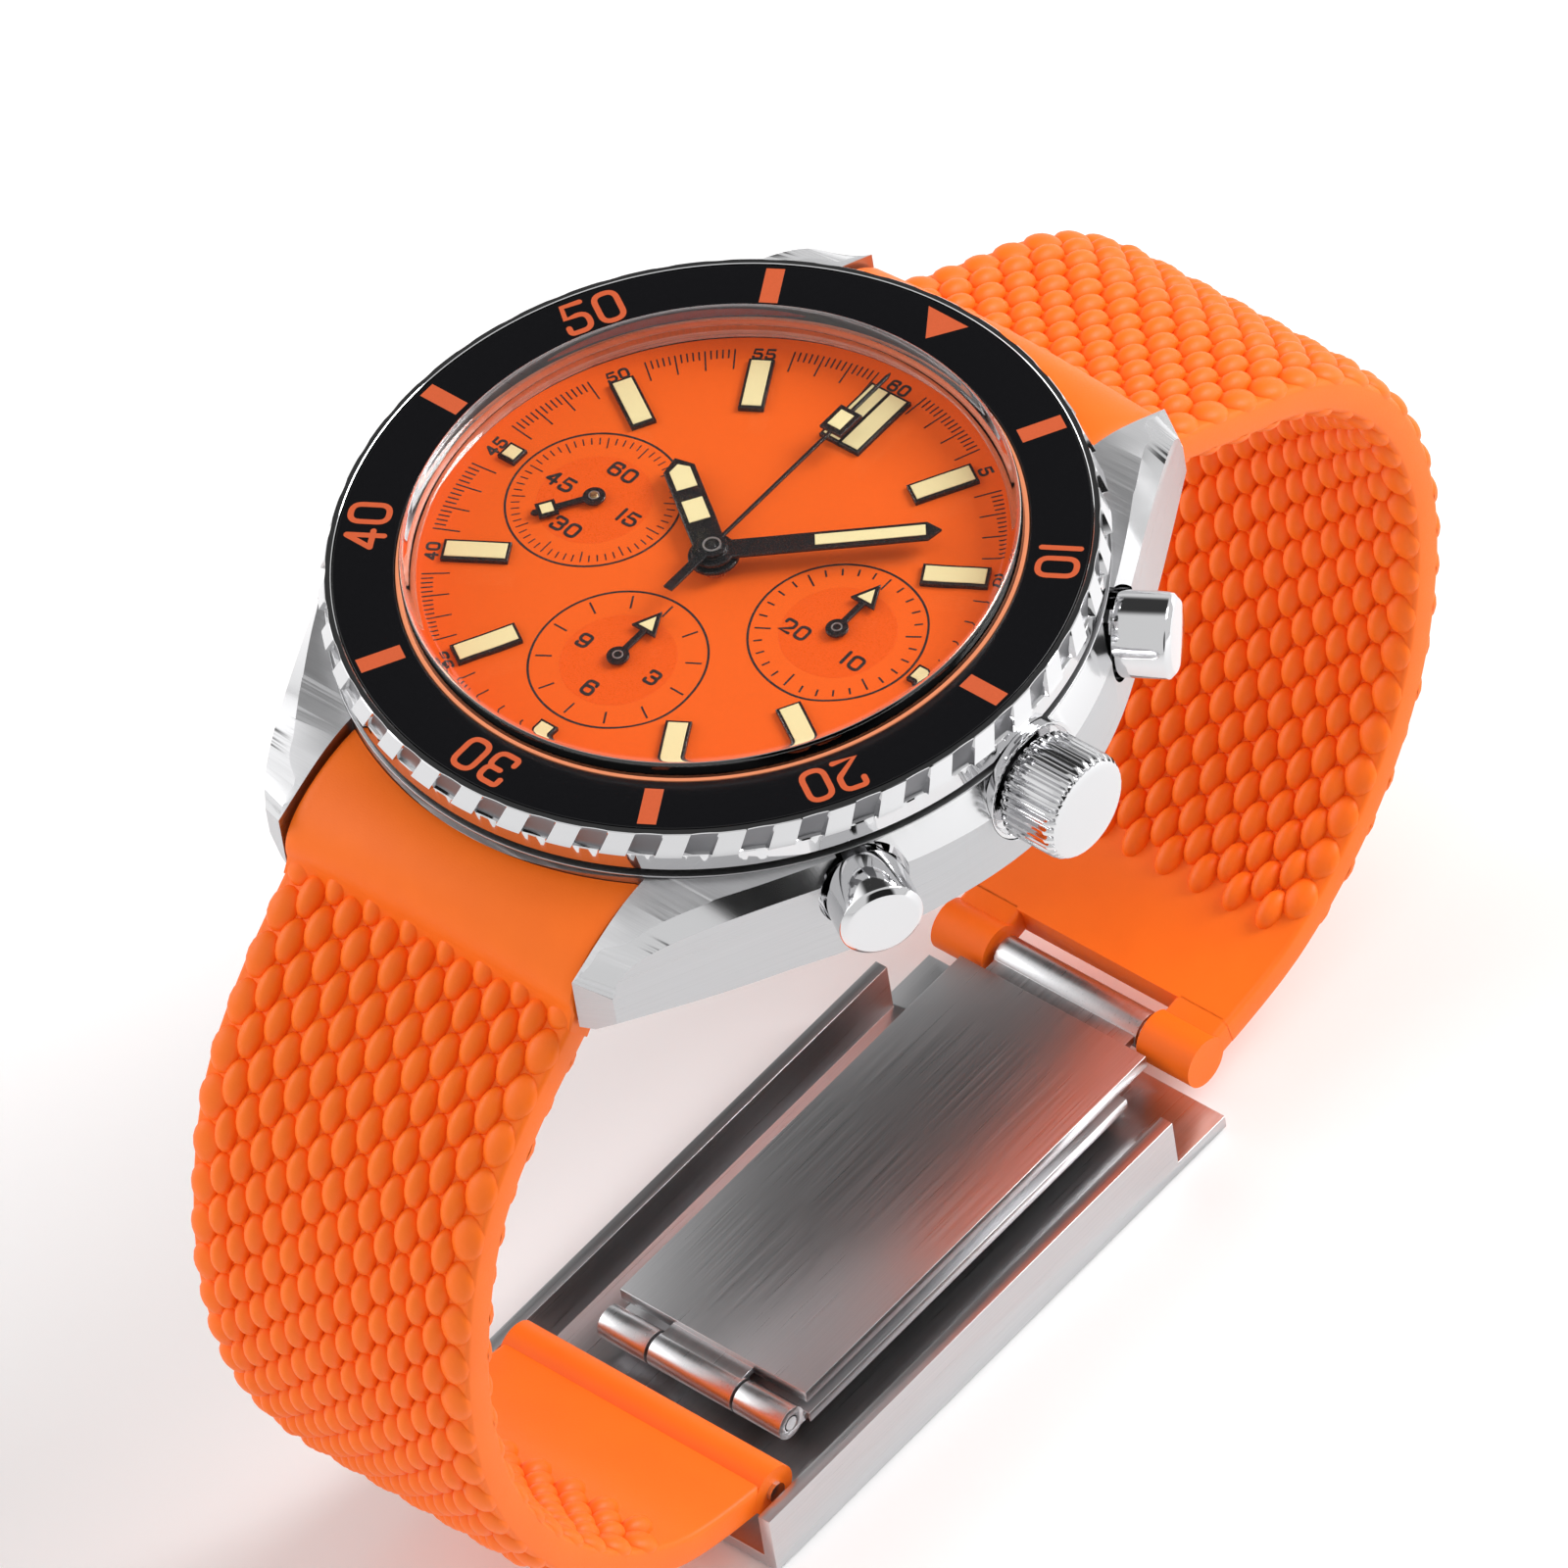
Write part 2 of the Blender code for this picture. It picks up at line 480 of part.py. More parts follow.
def make_movement():
    plate = add_object("main_plate", prism_mesh("main_plate", circle((0, 0), PLATE_R, 40), PLATE_BACK_Z,
                                                PLATE_TOP_Z), BRASS)
    pivots = [(CENTER, 0.6), (THIRD, 0.3), (FOURTH, 0.32), (ESCAPE, 0.24), (FORK, 0.24), (BALANCE, 0.26),
              (BARREL, 0.6), ((SUBDIAL_X, 0.0), 0.42), ((0.0, HOUR_COUNTER_Y), 0.42)]
    holes = [((*place, -6.5), (*place, -3.0), radius, 12) for place, radius in pivots]
    cut(plate, "plate_pivots", rods_mesh("plate_pivots", holes))
    stem_way = [((9.2, 0, BUTTON_Z), (PLATE_R + 1, 0, BUTTON_Z), 0.7, 12)]
    cut(plate, "stem_way", rods_mesh("stem_way", stem_way))

    holder = ring("movement_ring", PLATE_R + 0.06, CAVITY_R - 0.08, -7.4, PLATE_TOP_Z, BRASS, 40)
    side_ways = [((12.5, 0, BUTTON_Z), (16, 0, BUTTON_Z), 0.8, 12)]
    for side in (1, -1):
        along = pusher_direction(side)
        side_ways.append((pusher_point(along, 12), pusher_point(along, 16), 1.0, 12))
    cut(holder, "holder_ways", rods_mesh("holder_ways", side_ways))

    bridge = add_object("train_bridge", prism_mesh("train_bridge", circle((0, 0), 12.9, 36), BRIDGE_BACK_Z,
                                                   BRIDGE_TOP_Z), STEEL)
    posts = [((x, y, BRIDGE_TOP_Z - 0.2), (x, y, PLATE_BACK_Z - 0.05), 0.9, 12)
             for x, y in ((10.4, 4.6), (-3.0, -10.4), (-11.2, -4.6), (3.5, 10.4))]
    for index, post in enumerate(posts):
        join(bridge, f"bridge_post_{index}", rods_mesh(f"bridge_post_{index}", [post]))
    window = [(BALANCE[0] + x, BALANCE[1] + y) for x, y in circle((0, 0), BALANCE_R + 0.5, 28)]
    cut(bridge, "balance_window", prism_mesh("balance_window", window, -10, -8))
    cut(bridge, "window_mouth", prism_mesh("window_mouth", [(-8.2, 9.0), (-2.2, 9.0), (-5.0, 14.5), (-9.5, 14.0)],
                                           -10, -8))

    outward = math.atan2(BALANCE[1], BALANCE[0])
    foot = (12.85 * math.cos(outward), 12.85 * math.sin(outward))
    across = (-0.4 * math.sin(outward), 0.4 * math.cos(outward))
    arm = [(BALANCE[0] + across[0], BALANCE[1] + across[1]), (BALANCE[0] - across[0], BALANCE[1] - across[1]),
           (foot[0] - across[0], foot[1] - across[1]), (foot[0] + across[0], foot[1] + across[1])]
    cock = add_object("balance_cock", prism_mesh("balance_cock", circle(BALANCE, 1.2, 16), -9.3, -8.7), STEEL)
    join(cock, "cock_arm", prism_mesh("cock_arm", arm, -9.25, -8.75))
    join(cock, "cock_post", rods_mesh("cock_post", [((*foot, -9.2), (*foot, PLATE_BACK_Z - 0.05), 0.45, 10)]))
    rotor_post = [((0, 0, -11.0), (0, 0, BRIDGE_BACK_Z - 0.05), 1.4, 20)]
    add_object("rotor_bearing", rods_mesh("rotor_bearing", rotor_post), STEEL)
    weight = arc(12.6, math.pi, math.tau, 25) + [(2.6, 0.0)] + arc(2.6, 0, math.pi, 11)[1:]
    rotor = add_object("rotor", prism_mesh("rotor", weight, -10.4, -10.0), BRASS)
    rim = arc(12.6, math.pi, math.tau, 25) + arc(10.6, math.tau, math.pi, 25)
    join(rotor, "rotor_rim", prism_mesh("rotor_rim", rim, -11.3, -10.1))
    cut(rotor, "rotor_bore", rods_mesh("rotor_bore", [((0, 0, -12), (0, 0, -9), 1.48, 24)]))


# Hands

def hand_outline(angle, length, half_width, point, hub, tail=0.0, tail_half=0.2):
    """A hand that points along +X before it is turned: hub circle, straight blade, pointed tip and tail."""
    leave = math.asin(half_width / hub)
    outline = [(length, 0), (length - point, half_width)]
    if tail:
        back = math.asin(tail_half / hub)
        outline += arc(hub, leave, math.pi - back, 8)
        outline += [(-tail, tail_half), (-tail, -tail_half)]
        outline += arc(hub, math.pi + back, math.tau - leave, 8)
    else:
        outline += arc(hub, leave, math.tau - leave, 16)
    outline.append((length - point, -half_width))
    cos, sin = math.cos(angle), math.sin(angle)
    return [(x * cos - y * sin, x * sin + y * cos) for x, y in outline]


def clock_angle(clockwise_degrees):
    """The angle from +X of a hand that stands so far clockwise of 12 o'clock."""
    return math.radians(90 - clockwise_degrees)


def make_hand(name, place, shape, low, high, bore=None, arbor=None):
    outline = [(place[0] + x, place[1] + y) for x, y in shape]
    hand = add_object(name, prism_mesh(name, outline, low, high), HAND_BLACK, (*place, high))
    if bore:
        cut(hand, f"{name}_bore", rods_mesh(f"{name}_bore", [((*place, low - 1), (*place, high + 1), bore, 16)]))
    if arbor:
        join(hand, f"{name}_arbor", rods_mesh(f"{name}_arbor", [((*place, arbor), (*place, high), 0.3, 12)]))


def make_hands():
    make_hand("hour_hand", CENTER, hand_outline(clock_angle(304), 7.3, 0.85, 0.8, 1.35), -2.35, -2.15, bore=0.96)
    make_hand("minute_hand", CENTER, hand_outline(clock_angle(49), 11.8, 0.6, 0.7, 1.15), -2.0, -1.8, bore=0.51)
    make_hand("chronograph_seconds_hand", CENTER, hand_outline(clock_angle(0), 14.4, 0.12, 0.3, 0.7, 3.5, 0.18),
              -1.6, -1.45, bore=0.24)
    small = ("small_seconds_hand", FOURTH, 215, None, 0.25)
    minutes = ("minute_counter_hand", (SUBDIAL_X, 0.0), 0, -4.6, None)
    hours = ("hour_counter_hand", (0.0, HOUR_COUNTER_Y), 0, -4.6, None)
    for name, place, angle, arbor, bore in (small, minutes, hours):
        make_hand(name, place, hand_outline(clock_angle(angle), 3.4, 0.22, 0.5, 0.62), -2.8, -2.65, bore, arbor)


# Crown and pushers

def pusher_direction(side):
    return Vector((math.cos(PUSHER_ANGLE), side * math.sin(PUSHER_ANGLE), 0))


def pusher_point(along, distance):
    return (along.x * distance, along.y * distance, BUTTON_Z)


def make_crown():
    """Built about Z with its origin on the stem's axis, then laid along +X."""
    on_crown_axis = ((0, 0, BUTTON_Z), (1, 0, 0))
    flutes = gear_outline(CROWN_FLUTES, 2 * CROWN_R / CROWN_FLUTES, 0, tip=0.0, root=0.9, narrow=0.4)
    crown = on_axis(add_object("crown", prism_mesh("crown", flutes, CROWN_FOOT_X, CROWN_FACE_X), POLISHED),
                    *on_crown_axis)
    bore = add_object("crown_bore", rods_mesh("crown_bore", [((0, 0, 20), (0, 0, 23.0), 1.75, 20)]), STEEL)
    combine(crown, "DIFFERENCE", on_axis(bore, *on_crown_axis))
    on_axis(ring("crown_tube", 0.62, 1.2, 15.0, 22.6, STEEL, 20), *on_crown_axis)
    on_axis(ring("crown_gasket", 1.26, 1.68, 21.6, 22.1, SEAL_BLACK, 20), *on_crown_axis)
    stem = rods_mesh("winding_stem", [((0, 0, 9.6), (0, 0, 22.95), 0.5, 16)])
    on_axis(add_object("winding_stem", stem, STEEL), *on_crown_axis)


def make_pusher(side, label):
    axis = ((0, 0, BUTTON_Z), pusher_direction(side))
    cap = [(0, PUSHER_FACE_R), (2.0, PUSHER_FACE_R - 0.06), (PUSHER_CAP_R, PUSHER_FACE_R - 0.4),
           (PUSHER_CAP_R, PUSHER_FOOT_R), (1.9, PUSHER_FOOT_R), (1.9, 23.0), (0.8, 23.0), (0.8, 15.6), (0, 15.6)]
    on_axis(turned(f"{label}_pusher", cap, POLISHED, 20, closed=False), *axis)
    on_axis(ring(f"{label}_pusher_tube", 0.92, 1.33, 15.2, 20.6, STEEL, 16), *axis)
    on_axis(ring(f"{label}_pusher_spring", 1.42, 1.78, 20.0, 22.92, STEEL, 16), *axis)


# Strap and clasp

def smooth_route(points, pieces=2):
    """Points of a Catmull-Rom curve through the given ones."""
    padded = [points[0], *points, points[-1]]
    route = []
    for index in range(1, len(padded) - 2):
        p0, p1, p2, p3 = (Vector(point) for point in padded[index - 1:index + 3])
        for step in range(pieces):
            t = step / pieces
            route.append(0.5 * (2 * p1 + (p2 - p0) * t + (2 * p0 - 5 * p1 + 4 * p2 - p3) * t * t
                                + (3 * p1 - p0 - 3 * p2 + p3) * t ** 3))
    route.append(Vector(points[-1]))
    return route


def strap_mesh(name, route):
    """A rectangle swept along the route (y, z) of the strap's middle, narrower towards the clasp."""
    bm = bmesh.new()
    sections = []
    for index, middle in enumerate(route):
        before, after = route[max(index - 1, 0)], route[min(index + 1, len(route) - 1)]
        along = (after - before).normalized()
        normal = Vector((-along.y, along.x))
        share = index / (len(route) - 1)
        half = (STRAP_WIDTH_LUG + (STRAP_WIDTH_CLASP - STRAP_WIDTH_LUG) * share) / 2
        corners = []
        for x, offset in ((-half, -1), (half, -1), (half, 1), (-half, 1)):
            point = middle + normal * offset * STRAP_THICK / 2
            corners.append(bm.verts.new((x * MM, point.x * MM, point.y * MM)))
        sections.append(corners)
    for first, second in zip(sections, sections[1:]):
        for i in range(4):
            j = (i + 1) % 4
            bm.faces.new((first[i], first[j], second[j], second[i]))
    bm.faces.new(sections[0])
    bm.faces.new(sections[-1])
    return mesh_from(bm, name)


def make_strap(label, side, stops, pin):
    """One half of the strap, from its barrel on the spring bar to its barrel on the clasp."""
    bar = (side * BAR_Y, BAR_Z)
    route = smooth_route([bar, *stops, pin])
    strap = add_object(f"strap_{label}", strap_mesh(f"strap_{label}", route), STRAP_ORANGE, (0, *bar))
    half_lug, half_clasp = STRAP_WIDTH_LUG / 2, STRAP_WIDTH_CLASP / 2
    rods = (("lug_barrel", bar, half_lug, STRAP_BARREL_R, 28), ("clasp_barrel", pin, half_clasp, STRAP_THICK / 2, 20))
    for part, (y, z), half, radius, sides in rods:
        name = f"strap_{label}_{part}"
        join(strap, name, rods_mesh(name, [((-half, y, z), (half, y, z), radius, sides)]))
    bores = ((bar, BAR_R + 0.12), (pin, 0.75))
    for index, ((y, z), radius) in enumerate(bores):
        name = f"strap_{label}_bore_{index}"
        cut(strap, name, rods_mesh(name, [((-12, y, z), (12, y, z), radius, 16)]))
    return strap


def make_straps():
    strap_12 = make_strap("12", 1, STRAP_12_ROUTE, STRAP_12_PIN)
    make_strap("6", -1, STRAP_6_ROUTE, STRAP_6_PIN)
    y, z = STRAP_12_PIN
    cut(strap_12, "strap_12_fork", box_mesh("strap_12_fork", (-5.3, y - 3, z - 4), (5.3, y + 1.9, z + 4)))
    for side, label in ((1, "12"), (-1, "6")):
        bar = [((-11.4, side * BAR_Y, BAR_Z), (11.4, side * BAR_Y, BAR_Z), BAR_R, 16)]
        add_object(f"spring_bar_{label}", rods_mesh(f"spring_bar_{label}", bar), STEEL)
    for label, (y, z), half in (("strap_12_end_bar", STRAP_12_PIN, 8.9), ("strap_6_end_bar", STRAP_6_PIN, 9.3),
                                ("left_hinge_pin", LEFT_HINGE, 6.4), ("right_hinge_pin", RIGHT_HINGE, 4.9)):
        radius = 0.6 if "strap" in label else 0.42
        add_object(label, rods_mesh(label, [((-half, y, z), (half, y, z), radius, 12)]), STEEL, (0, y, z))


def knuckle(piece, name, spans, place, radius, bore):
    """Hinge barrels over the given spans of x, with one bore through them."""
    y, z = place
    for index, (low, high) in enumerate(spans):
        label = f"{name}_{index}"
        join(piece, label, rods_mesh(label, [((low, y, z), (high, y, z), radius, 20)]))
    cut(piece, f"{name}_bore", rods_mesh(f"{name}_bore", [((-12, y, z), (12, y, z), bore, 12)]))


def make_clasp():
    left_y, right_y, pin_y = LEFT_HINGE[0], RIGHT_HINGE[0], STRAP_12_PIN[0]
    inner = add_object("clasp_inner_blade", box_mesh("clasp_inner_blade", (-6.5, left_y + 1.3, -54.9),
                                                     (6.5, pin_y - 1.9, -54.1)), STEEL, (0, *STRAP_12_PIN))
    join(inner, "inner_left_tab", box_mesh("inner_left_tab", (-2.8, left_y, -54.85), (2.8, left_y + 2, -54.45)))
    join(inner, "inner_right_tab", box_mesh("inner_right_tab", (-4.9, pin_y - 2.5, -54.85), (4.9, pin_y, -54.3)))
    knuckle(inner, "inner_left", [(-2.9, 2.9)], LEFT_HINGE, 1.0, 0.5)
    knuckle(inner, "inner_right", [(-5.0, 5.0)], STRAP_12_PIN, 1.1, 0.7)

    outer = add_object("clasp_outer_blade", box_mesh("clasp_outer_blade", (-6.5, left_y + 1.3, -56.5),
                                                     (6.5, right_y - 1.3, -55.8)), STEEL, (0, *LEFT_HINGE))
    for side in (1, -1):
        low, high = sorted((side * 3.2, side * 6.3))
        label = f"outer_left_tab_{side}"
        join(outer, label, box_mesh(label, (low, left_y, -56.3), (high, left_y + 2, -55.85)))
    join(outer, "outer_right_tab", box_mesh("outer_right_tab", (-2.8, right_y - 2, -56.45), (2.8, right_y, -55.9)))
    knuckle(outer, "outer_left", [(-6.4, -3.1), (3.1, 6.4)], LEFT_HINGE, 1.0, 0.5)
    knuckle(outer, "outer_right", [(-2.9, 2.9)], RIGHT_HINGE, 0.95, 0.5)

    plate_top = COVER_OUTER_Z + COVER_THICK
    cover = add_object("clasp_cover", box_mesh("clasp_cover", (-COVER_HALF_WIDTH, -17.5, COVER_OUTER_Z),
                                               (COVER_HALF_WIDTH, 20.5, plate_top)), STEEL, (0, *RIGHT_HINGE))
    for side in (1, -1):
        low, high = sorted((side * (COVER_HALF_WIDTH - COVER_WALL), side * COVER_HALF_WIDTH))
        join(cover, f"cover_wall_{side}", box_mesh(f"cover_wall_{side}", (low, -17.5, plate_top - 0.3),
                                                   (high, 16.5, -54.6)))
        low, high = sorted((side * 3.2, side * 4.9))
        join(cover, f"cover_ear_{side}", box_mesh(f"cover_ear_{side}", (low, right_y - 0.7, plate_top - 0.3),
                                                  (high, right_y + 0.7, -56.7)))
    knuckle(cover, "cover_ears", [(-5.0, -3.1), (3.1, 5.0)], RIGHT_HINGE, 0.9, 0.5)


make_mid_case()
make_case_back()
make_crystal()
make_dial()
make_bezel()
make_movement()
make_train()
make_escapement()
make_hands()
make_crown()
make_pusher(1, "upper")
make_pusher(-1, "lower")
make_straps()
make_clasp()
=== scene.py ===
"""Looks of the chronograph dive watch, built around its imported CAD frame.

Lengths are in millimetres in the watch head's own frame: +X to the crown, +Y to 12 o'clock, +Z out of
the dial, z = 0 at the top of the bezel insert. HEAD_LIFT, read from the frame, takes them to the world."""

import json
import math

import bmesh
import bpy
import numpy as np
from mathutils import Matrix, Vector

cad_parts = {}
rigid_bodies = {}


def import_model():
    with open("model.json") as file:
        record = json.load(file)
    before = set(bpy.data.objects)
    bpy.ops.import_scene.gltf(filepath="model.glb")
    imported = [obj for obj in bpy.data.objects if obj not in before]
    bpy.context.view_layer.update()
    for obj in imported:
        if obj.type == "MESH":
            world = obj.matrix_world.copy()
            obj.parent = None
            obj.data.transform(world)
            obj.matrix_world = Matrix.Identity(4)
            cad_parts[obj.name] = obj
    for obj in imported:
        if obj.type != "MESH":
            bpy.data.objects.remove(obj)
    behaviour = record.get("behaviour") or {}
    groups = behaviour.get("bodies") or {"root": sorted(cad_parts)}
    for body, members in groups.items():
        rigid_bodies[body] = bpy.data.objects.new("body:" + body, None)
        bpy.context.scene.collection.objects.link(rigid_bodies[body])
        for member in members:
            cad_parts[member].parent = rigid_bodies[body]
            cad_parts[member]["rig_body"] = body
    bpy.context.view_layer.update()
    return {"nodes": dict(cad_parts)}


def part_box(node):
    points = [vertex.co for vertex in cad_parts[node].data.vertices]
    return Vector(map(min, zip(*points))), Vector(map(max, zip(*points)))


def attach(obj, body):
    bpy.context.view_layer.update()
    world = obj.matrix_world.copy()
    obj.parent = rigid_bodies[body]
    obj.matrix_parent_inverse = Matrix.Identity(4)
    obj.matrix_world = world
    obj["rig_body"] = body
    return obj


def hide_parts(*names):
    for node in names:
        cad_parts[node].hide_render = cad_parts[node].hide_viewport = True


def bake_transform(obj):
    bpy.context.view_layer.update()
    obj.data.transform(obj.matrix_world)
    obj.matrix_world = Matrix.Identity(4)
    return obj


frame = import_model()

MM = 0.001
HEAD_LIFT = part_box("bezel_insert")[1].z / MM
RNG = np.random.default_rng(7)

# Camera, in the head's frame
CAMERA_PLACE = (612.199, -571.089, 887.253)
CAMERA_RIGHT = (0.76316067, 0.63628726, -0.11280214)
CAMERA_FORWARD = (-0.49528712, 0.46382397, -0.73454611)
CAMERA_LENS = 540.0
SENSOR = 36.0

# Studio: (name, place in metres, size, power), and the sky's zones (direction, inner, outer, level)
SKY = 0.82
SKY_ZONES = (((-0.5, 0.46, 0.73), 18, 36, 0.05), ((0.9, -0.27, 0.34), 20, 29, 0.02),
             ((-0.9, -0.3, 0.3), 10, 45, 1.5))
LIGHT_TARGET = (0, 0, 0.05)
SOFTBOXES = (("softbox_key", (0.35, 0.6, 0.55), (0.4, 0.4), 6.0),
             ("softbox_left", (-0.85, -0.35, 0.4), (0.5, 0.4), 1.6))

# Case
FLANK_R = 21.2
FLANK_TANGENT = math.radians(27.2)
LUG_HALF_GAP = 10.0
LUG_TIP_Y = 24.2
SHOULDER_Y = 23.3
WALL_R = 20.5
CASE_BOTTOM_Z = -10.0
FLANK_BOTTOM_Z = -9.35
DECK_R = 20.55
DECK_Z = -2.95
LUG_TOP = ((0, -3.05), (15.0, -3.05), (17.5, -3.15), (19.5, -3.45), (21.5, -4.15), (24.6, -5.6), (26.0, -6.3))
BAR_Y = 22.2
BAR_Z = -8.0
BARREL_R = 2.6
CHANNEL_R = 2.9
BAR_HOLE_R = 0.95
MOVEMENT_BORE_R = 17.0
CASE_SHARP = 24  # degrees over which the case's edges are broken and shaded sharp

# Bezel, crystal and dial
TEETH = 44
TOOTH_PITCH = math.tau / TEETH
TOOTH_SLANT = math.radians(1.3)  # how far a tooth's side turns for each millimetre down
NOTCH_R = 20.24
INSERT_INNER_R = 16.6
INSERT_OUTER_R = 19.85
MARK_INNER_R = 17.15
MARK_OUTER_R = 19.6
NUMERAL_R = 18.33
CRYSTAL_R = 16.3
CRYSTAL_THICK = 2.55
DIAL_R = 15.9
DIAL_TOP = -3.0
PRINT_HIGH = 0.012
TRACK_R = 15.2
TRACK_NUMERAL_R = 14.86
MARKER_OUTER_R = 14.3
MARKER_RIM = 0.16
SUBDIAL_X = 8.2
HOUR_COUNTER_Y = -7.8
SUBDIAL_RING_R = 4.65
GUILLOCHE_R = 3.1

# Crown and pushers
BUTTON_Z = -5.34
CROWN_FLUTES = 32
CROWN_SEAT_R = 3.35
PUSHER_SEAT_R = 2.55
PUSHER_ANGLE = math.radians(30)

# Strap
STRAP_HALF_LUG = 9.8
STRAP_HALF_CLASP = 9.0
CORE_HALF = 0.95
BEAD_PITCH = 2.6
BEAD_START = 1.5  # along the strap from the lug bar to the first row's middle
BEAD = (0.74, 1.33, 0.85)  # half width, half length and height
EDGE_BEAD = (0.95, 1.32, 0.62)
EDGE_INSET = 0.92
BEAD_SUNK = 0.12
SMOOTH_END = 9.0
CLASP_EDGE = 0.15
STRAP_ROUTES = {
    "12": ((22.2, -8.0), (26.5, -10.3), (31.0, -12.6), (35.2, -14.8), (39.0, -18.2), (41.8, -23.0),
           (43.1, -29.0), (42.6, -35.5), (40.2, -42.5), (35.6, -48.6), (29.0, -53.0), (21.0, -54.8)),
    "6": ((-22.2, -8.0), (-25.6, -10.6), (-29.0, -13.5), (-32.1, -17.3), (-34.1, -22.3), (-35.2, -28.5),
          (-34.8, -35.5), (-32.4, -42.5), (-28.2, -48.6), (-22.5, -53.0), (-15.5, -54.8)),
}


# Materials

def new_material(name, color, roughness, metallic=0.0, **sockets):
    """A Principled material. Extra sockets are given by name with _ for a space."""
    made = bpy.data.materials.new(name)
    made.use_nodes = True
    shader = made.node_tree.nodes["Principled BSDF"]
    shader.inputs["Base Color"].default_value = (*color, 1)
    shader.inputs["Roughness"].default_value = roughness
    shader.inputs["Metallic"].default_value = metallic
    for socket, value in sockets.items():
        shader.inputs[socket.replace("_", " ")].default_value = value
    return made


def add_node(made, kind, **inputs):
    node = made.node_tree.nodes.new(kind)
    for socket, value in inputs.items():
        node.inputs[socket.replace("_", " ")].default_value = value
    return node


def wire(made, output, target):
    made.node_tree.links.new(output, target)


def grain(made, scale, detail=3.0, turn=(0, 0, 0)):
    """A noise value whose scale is in features for each millimetre along the object's X, Y and Z."""
    place = add_node(made, "ShaderNodeTexCoord")
    mapping = add_node(made, "ShaderNodeMapping", Scale=[s / MM for s in scale], Rotation=turn)
    noise = add_node(made, "ShaderNodeTexNoise", Scale=1.0, Detail=detail, Roughness=0.55)
    wire(made, place.outputs["Object"], mapping.inputs["Vector"])
    wire(made, mapping.outputs["Vector"], noise.inputs["Vector"])
    return noise.outputs["Fac"]


def ranged(made, value, low, high):
    node = add_node(made, "ShaderNodeMapRange", From_Min=0.3, From_Max=0.7, To_Min=low, To_Max=high)
    wire(made, value, node.inputs["Value"])
    return node.outputs["Result"]


def shader_of(made):
    return made.node_tree.nodes["Principled BSDF"]


def vary_roughness(made, value, low, high):
    wire(made, ranged(made, value, low, high), shader_of(made).inputs["Roughness"])


def vary_color(made, value, first, second):
    mix = made.node_tree.nodes.new("ShaderNodeMix")
    mix.data_type = "RGBA"
    mix.inputs["A"].default_value = (*first, 1)
    mix.inputs["B"].default_value = (*second, 1)
    wire(made, ranged(made, value, 0, 1), mix.inputs["Factor"])
    wire(made, mix.outputs["Result"], shader_of(made).inputs["Base Color"])


def add_bump(made, value, height_mm, strength=1.0):
    bump = add_node(made, "ShaderNodeBump", Strength=strength, Distance=height_mm * MM)
    wire(made, value, bump.inputs["Height"])
    wire(made, bump.outputs["Normal"], shader_of(made).inputs["Normal"])


def brushed_steel(name, scale, turn=(0, 0, 0), color=(0.52, 0.52, 0.53), rough=(0.27, 0.36), depth=0.0016):
    """Steel with fine straight brushing: scale is small along the lines and large across them."""
    made = new_material(name, color, sum(rough) / 2, 1.0)
    lines = grain(made, scale, 4.0, turn)
    vary_roughness(made, lines, *rough)
    vary_color(made, lines, [c * 0.95 for c in color], [min(1, c * 1.04) for c in color])
    add_bump(made, lines, depth)
    return made


def polished_steel(name, color=(0.7, 0.7, 0.71), rough=(0.04, 0.09)):
    """Mirror steel with faint handling marks."""
    made = new_material(name, color, sum(rough) / 2, 1.0)
    vary_roughness(made, grain(made, (0.5, 0.5, 0.5), 4.0), *rough)
    return made


def sapphire():
    """Glass that bends light for the eye and lets lamps straight through to the dial."""
    made = new_material("sapphire", (1.0, 1.0, 1.0), 0.0, 0.0, IOR=1.76, Transmission_Weight=1.0,
                        Specular_IOR_Level=0.3)
    nodes = made.node_tree.nodes
    rays = nodes.new("ShaderNodeLightPath")
    clear = nodes.new("ShaderNodeBsdfTransparent")
    choose = nodes.new("ShaderNodeMixShader")
    either = nodes.new("ShaderNodeMath")
    either.operation = "MAXIMUM"
    wire(made, rays.outputs["Is Shadow Ray"], either.inputs[0])
    wire(made, rays.outputs["Is Diffuse Ray"], either.inputs[1])
    wire(made, either.outputs[0], choose.inputs["Fac"])
    wire(made, shader_of(made).outputs[0], choose.inputs[1])
    wire(made, clear.outputs[0], choose.inputs[2])
    wire(made, choose.outputs[0], nodes["Material Output"].inputs["Surface"])
    return made


def rubber(name, color, speckle=0.03):
    """Matt moulded rubber: a fine skin texture and a slightly uneven colour."""
    made = new_material(name, color, 0.46, 0.0, Specular_IOR_Level=0.28)
    skin = grain(made, (9.0, 9.0, 9.0), 3.0)
    vary_roughness(made, skin, 0.4, 0.54)
    add_bump(made, skin, 0.008)
    vary_color(made, grain(made, (0.35, 0.35, 0.35), 2.0), [c * (1 - speckle) for c in color],
               [min(1, c * (1 + speckle)) for c in color])
    return made


def lacquer(name, color, roughness, height=0.0015, size=14.0, **sockets):
    """Paint or print: nearly even, with a fine grain that softens its gloss."""
    made = new_material(name, color, roughness, 0.0, **sockets)
    fine = grain(made, (size, size, size), 3.0)
    vary_roughness(made, fine, roughness * 0.85, roughness * 1.15)
    vary_color(made, fine, [c * 0.95 for c in color], [min(1, c * 1.05) for c in color])
    add_bump(made, fine, height)
    return made


def movement_metal(name, color, rough=(0.2, 0.38)):
    """Plated plate or wheel with fine circular graining."""
    made = new_material(name, color, sum(rough) / 2, 1.0)
    spots = grain(made, (3.0, 3.0, 0.5), 2.0)
    vary_roughness(made, spots, *rough)
    add_bump(made, spots, 0.003)
    return made


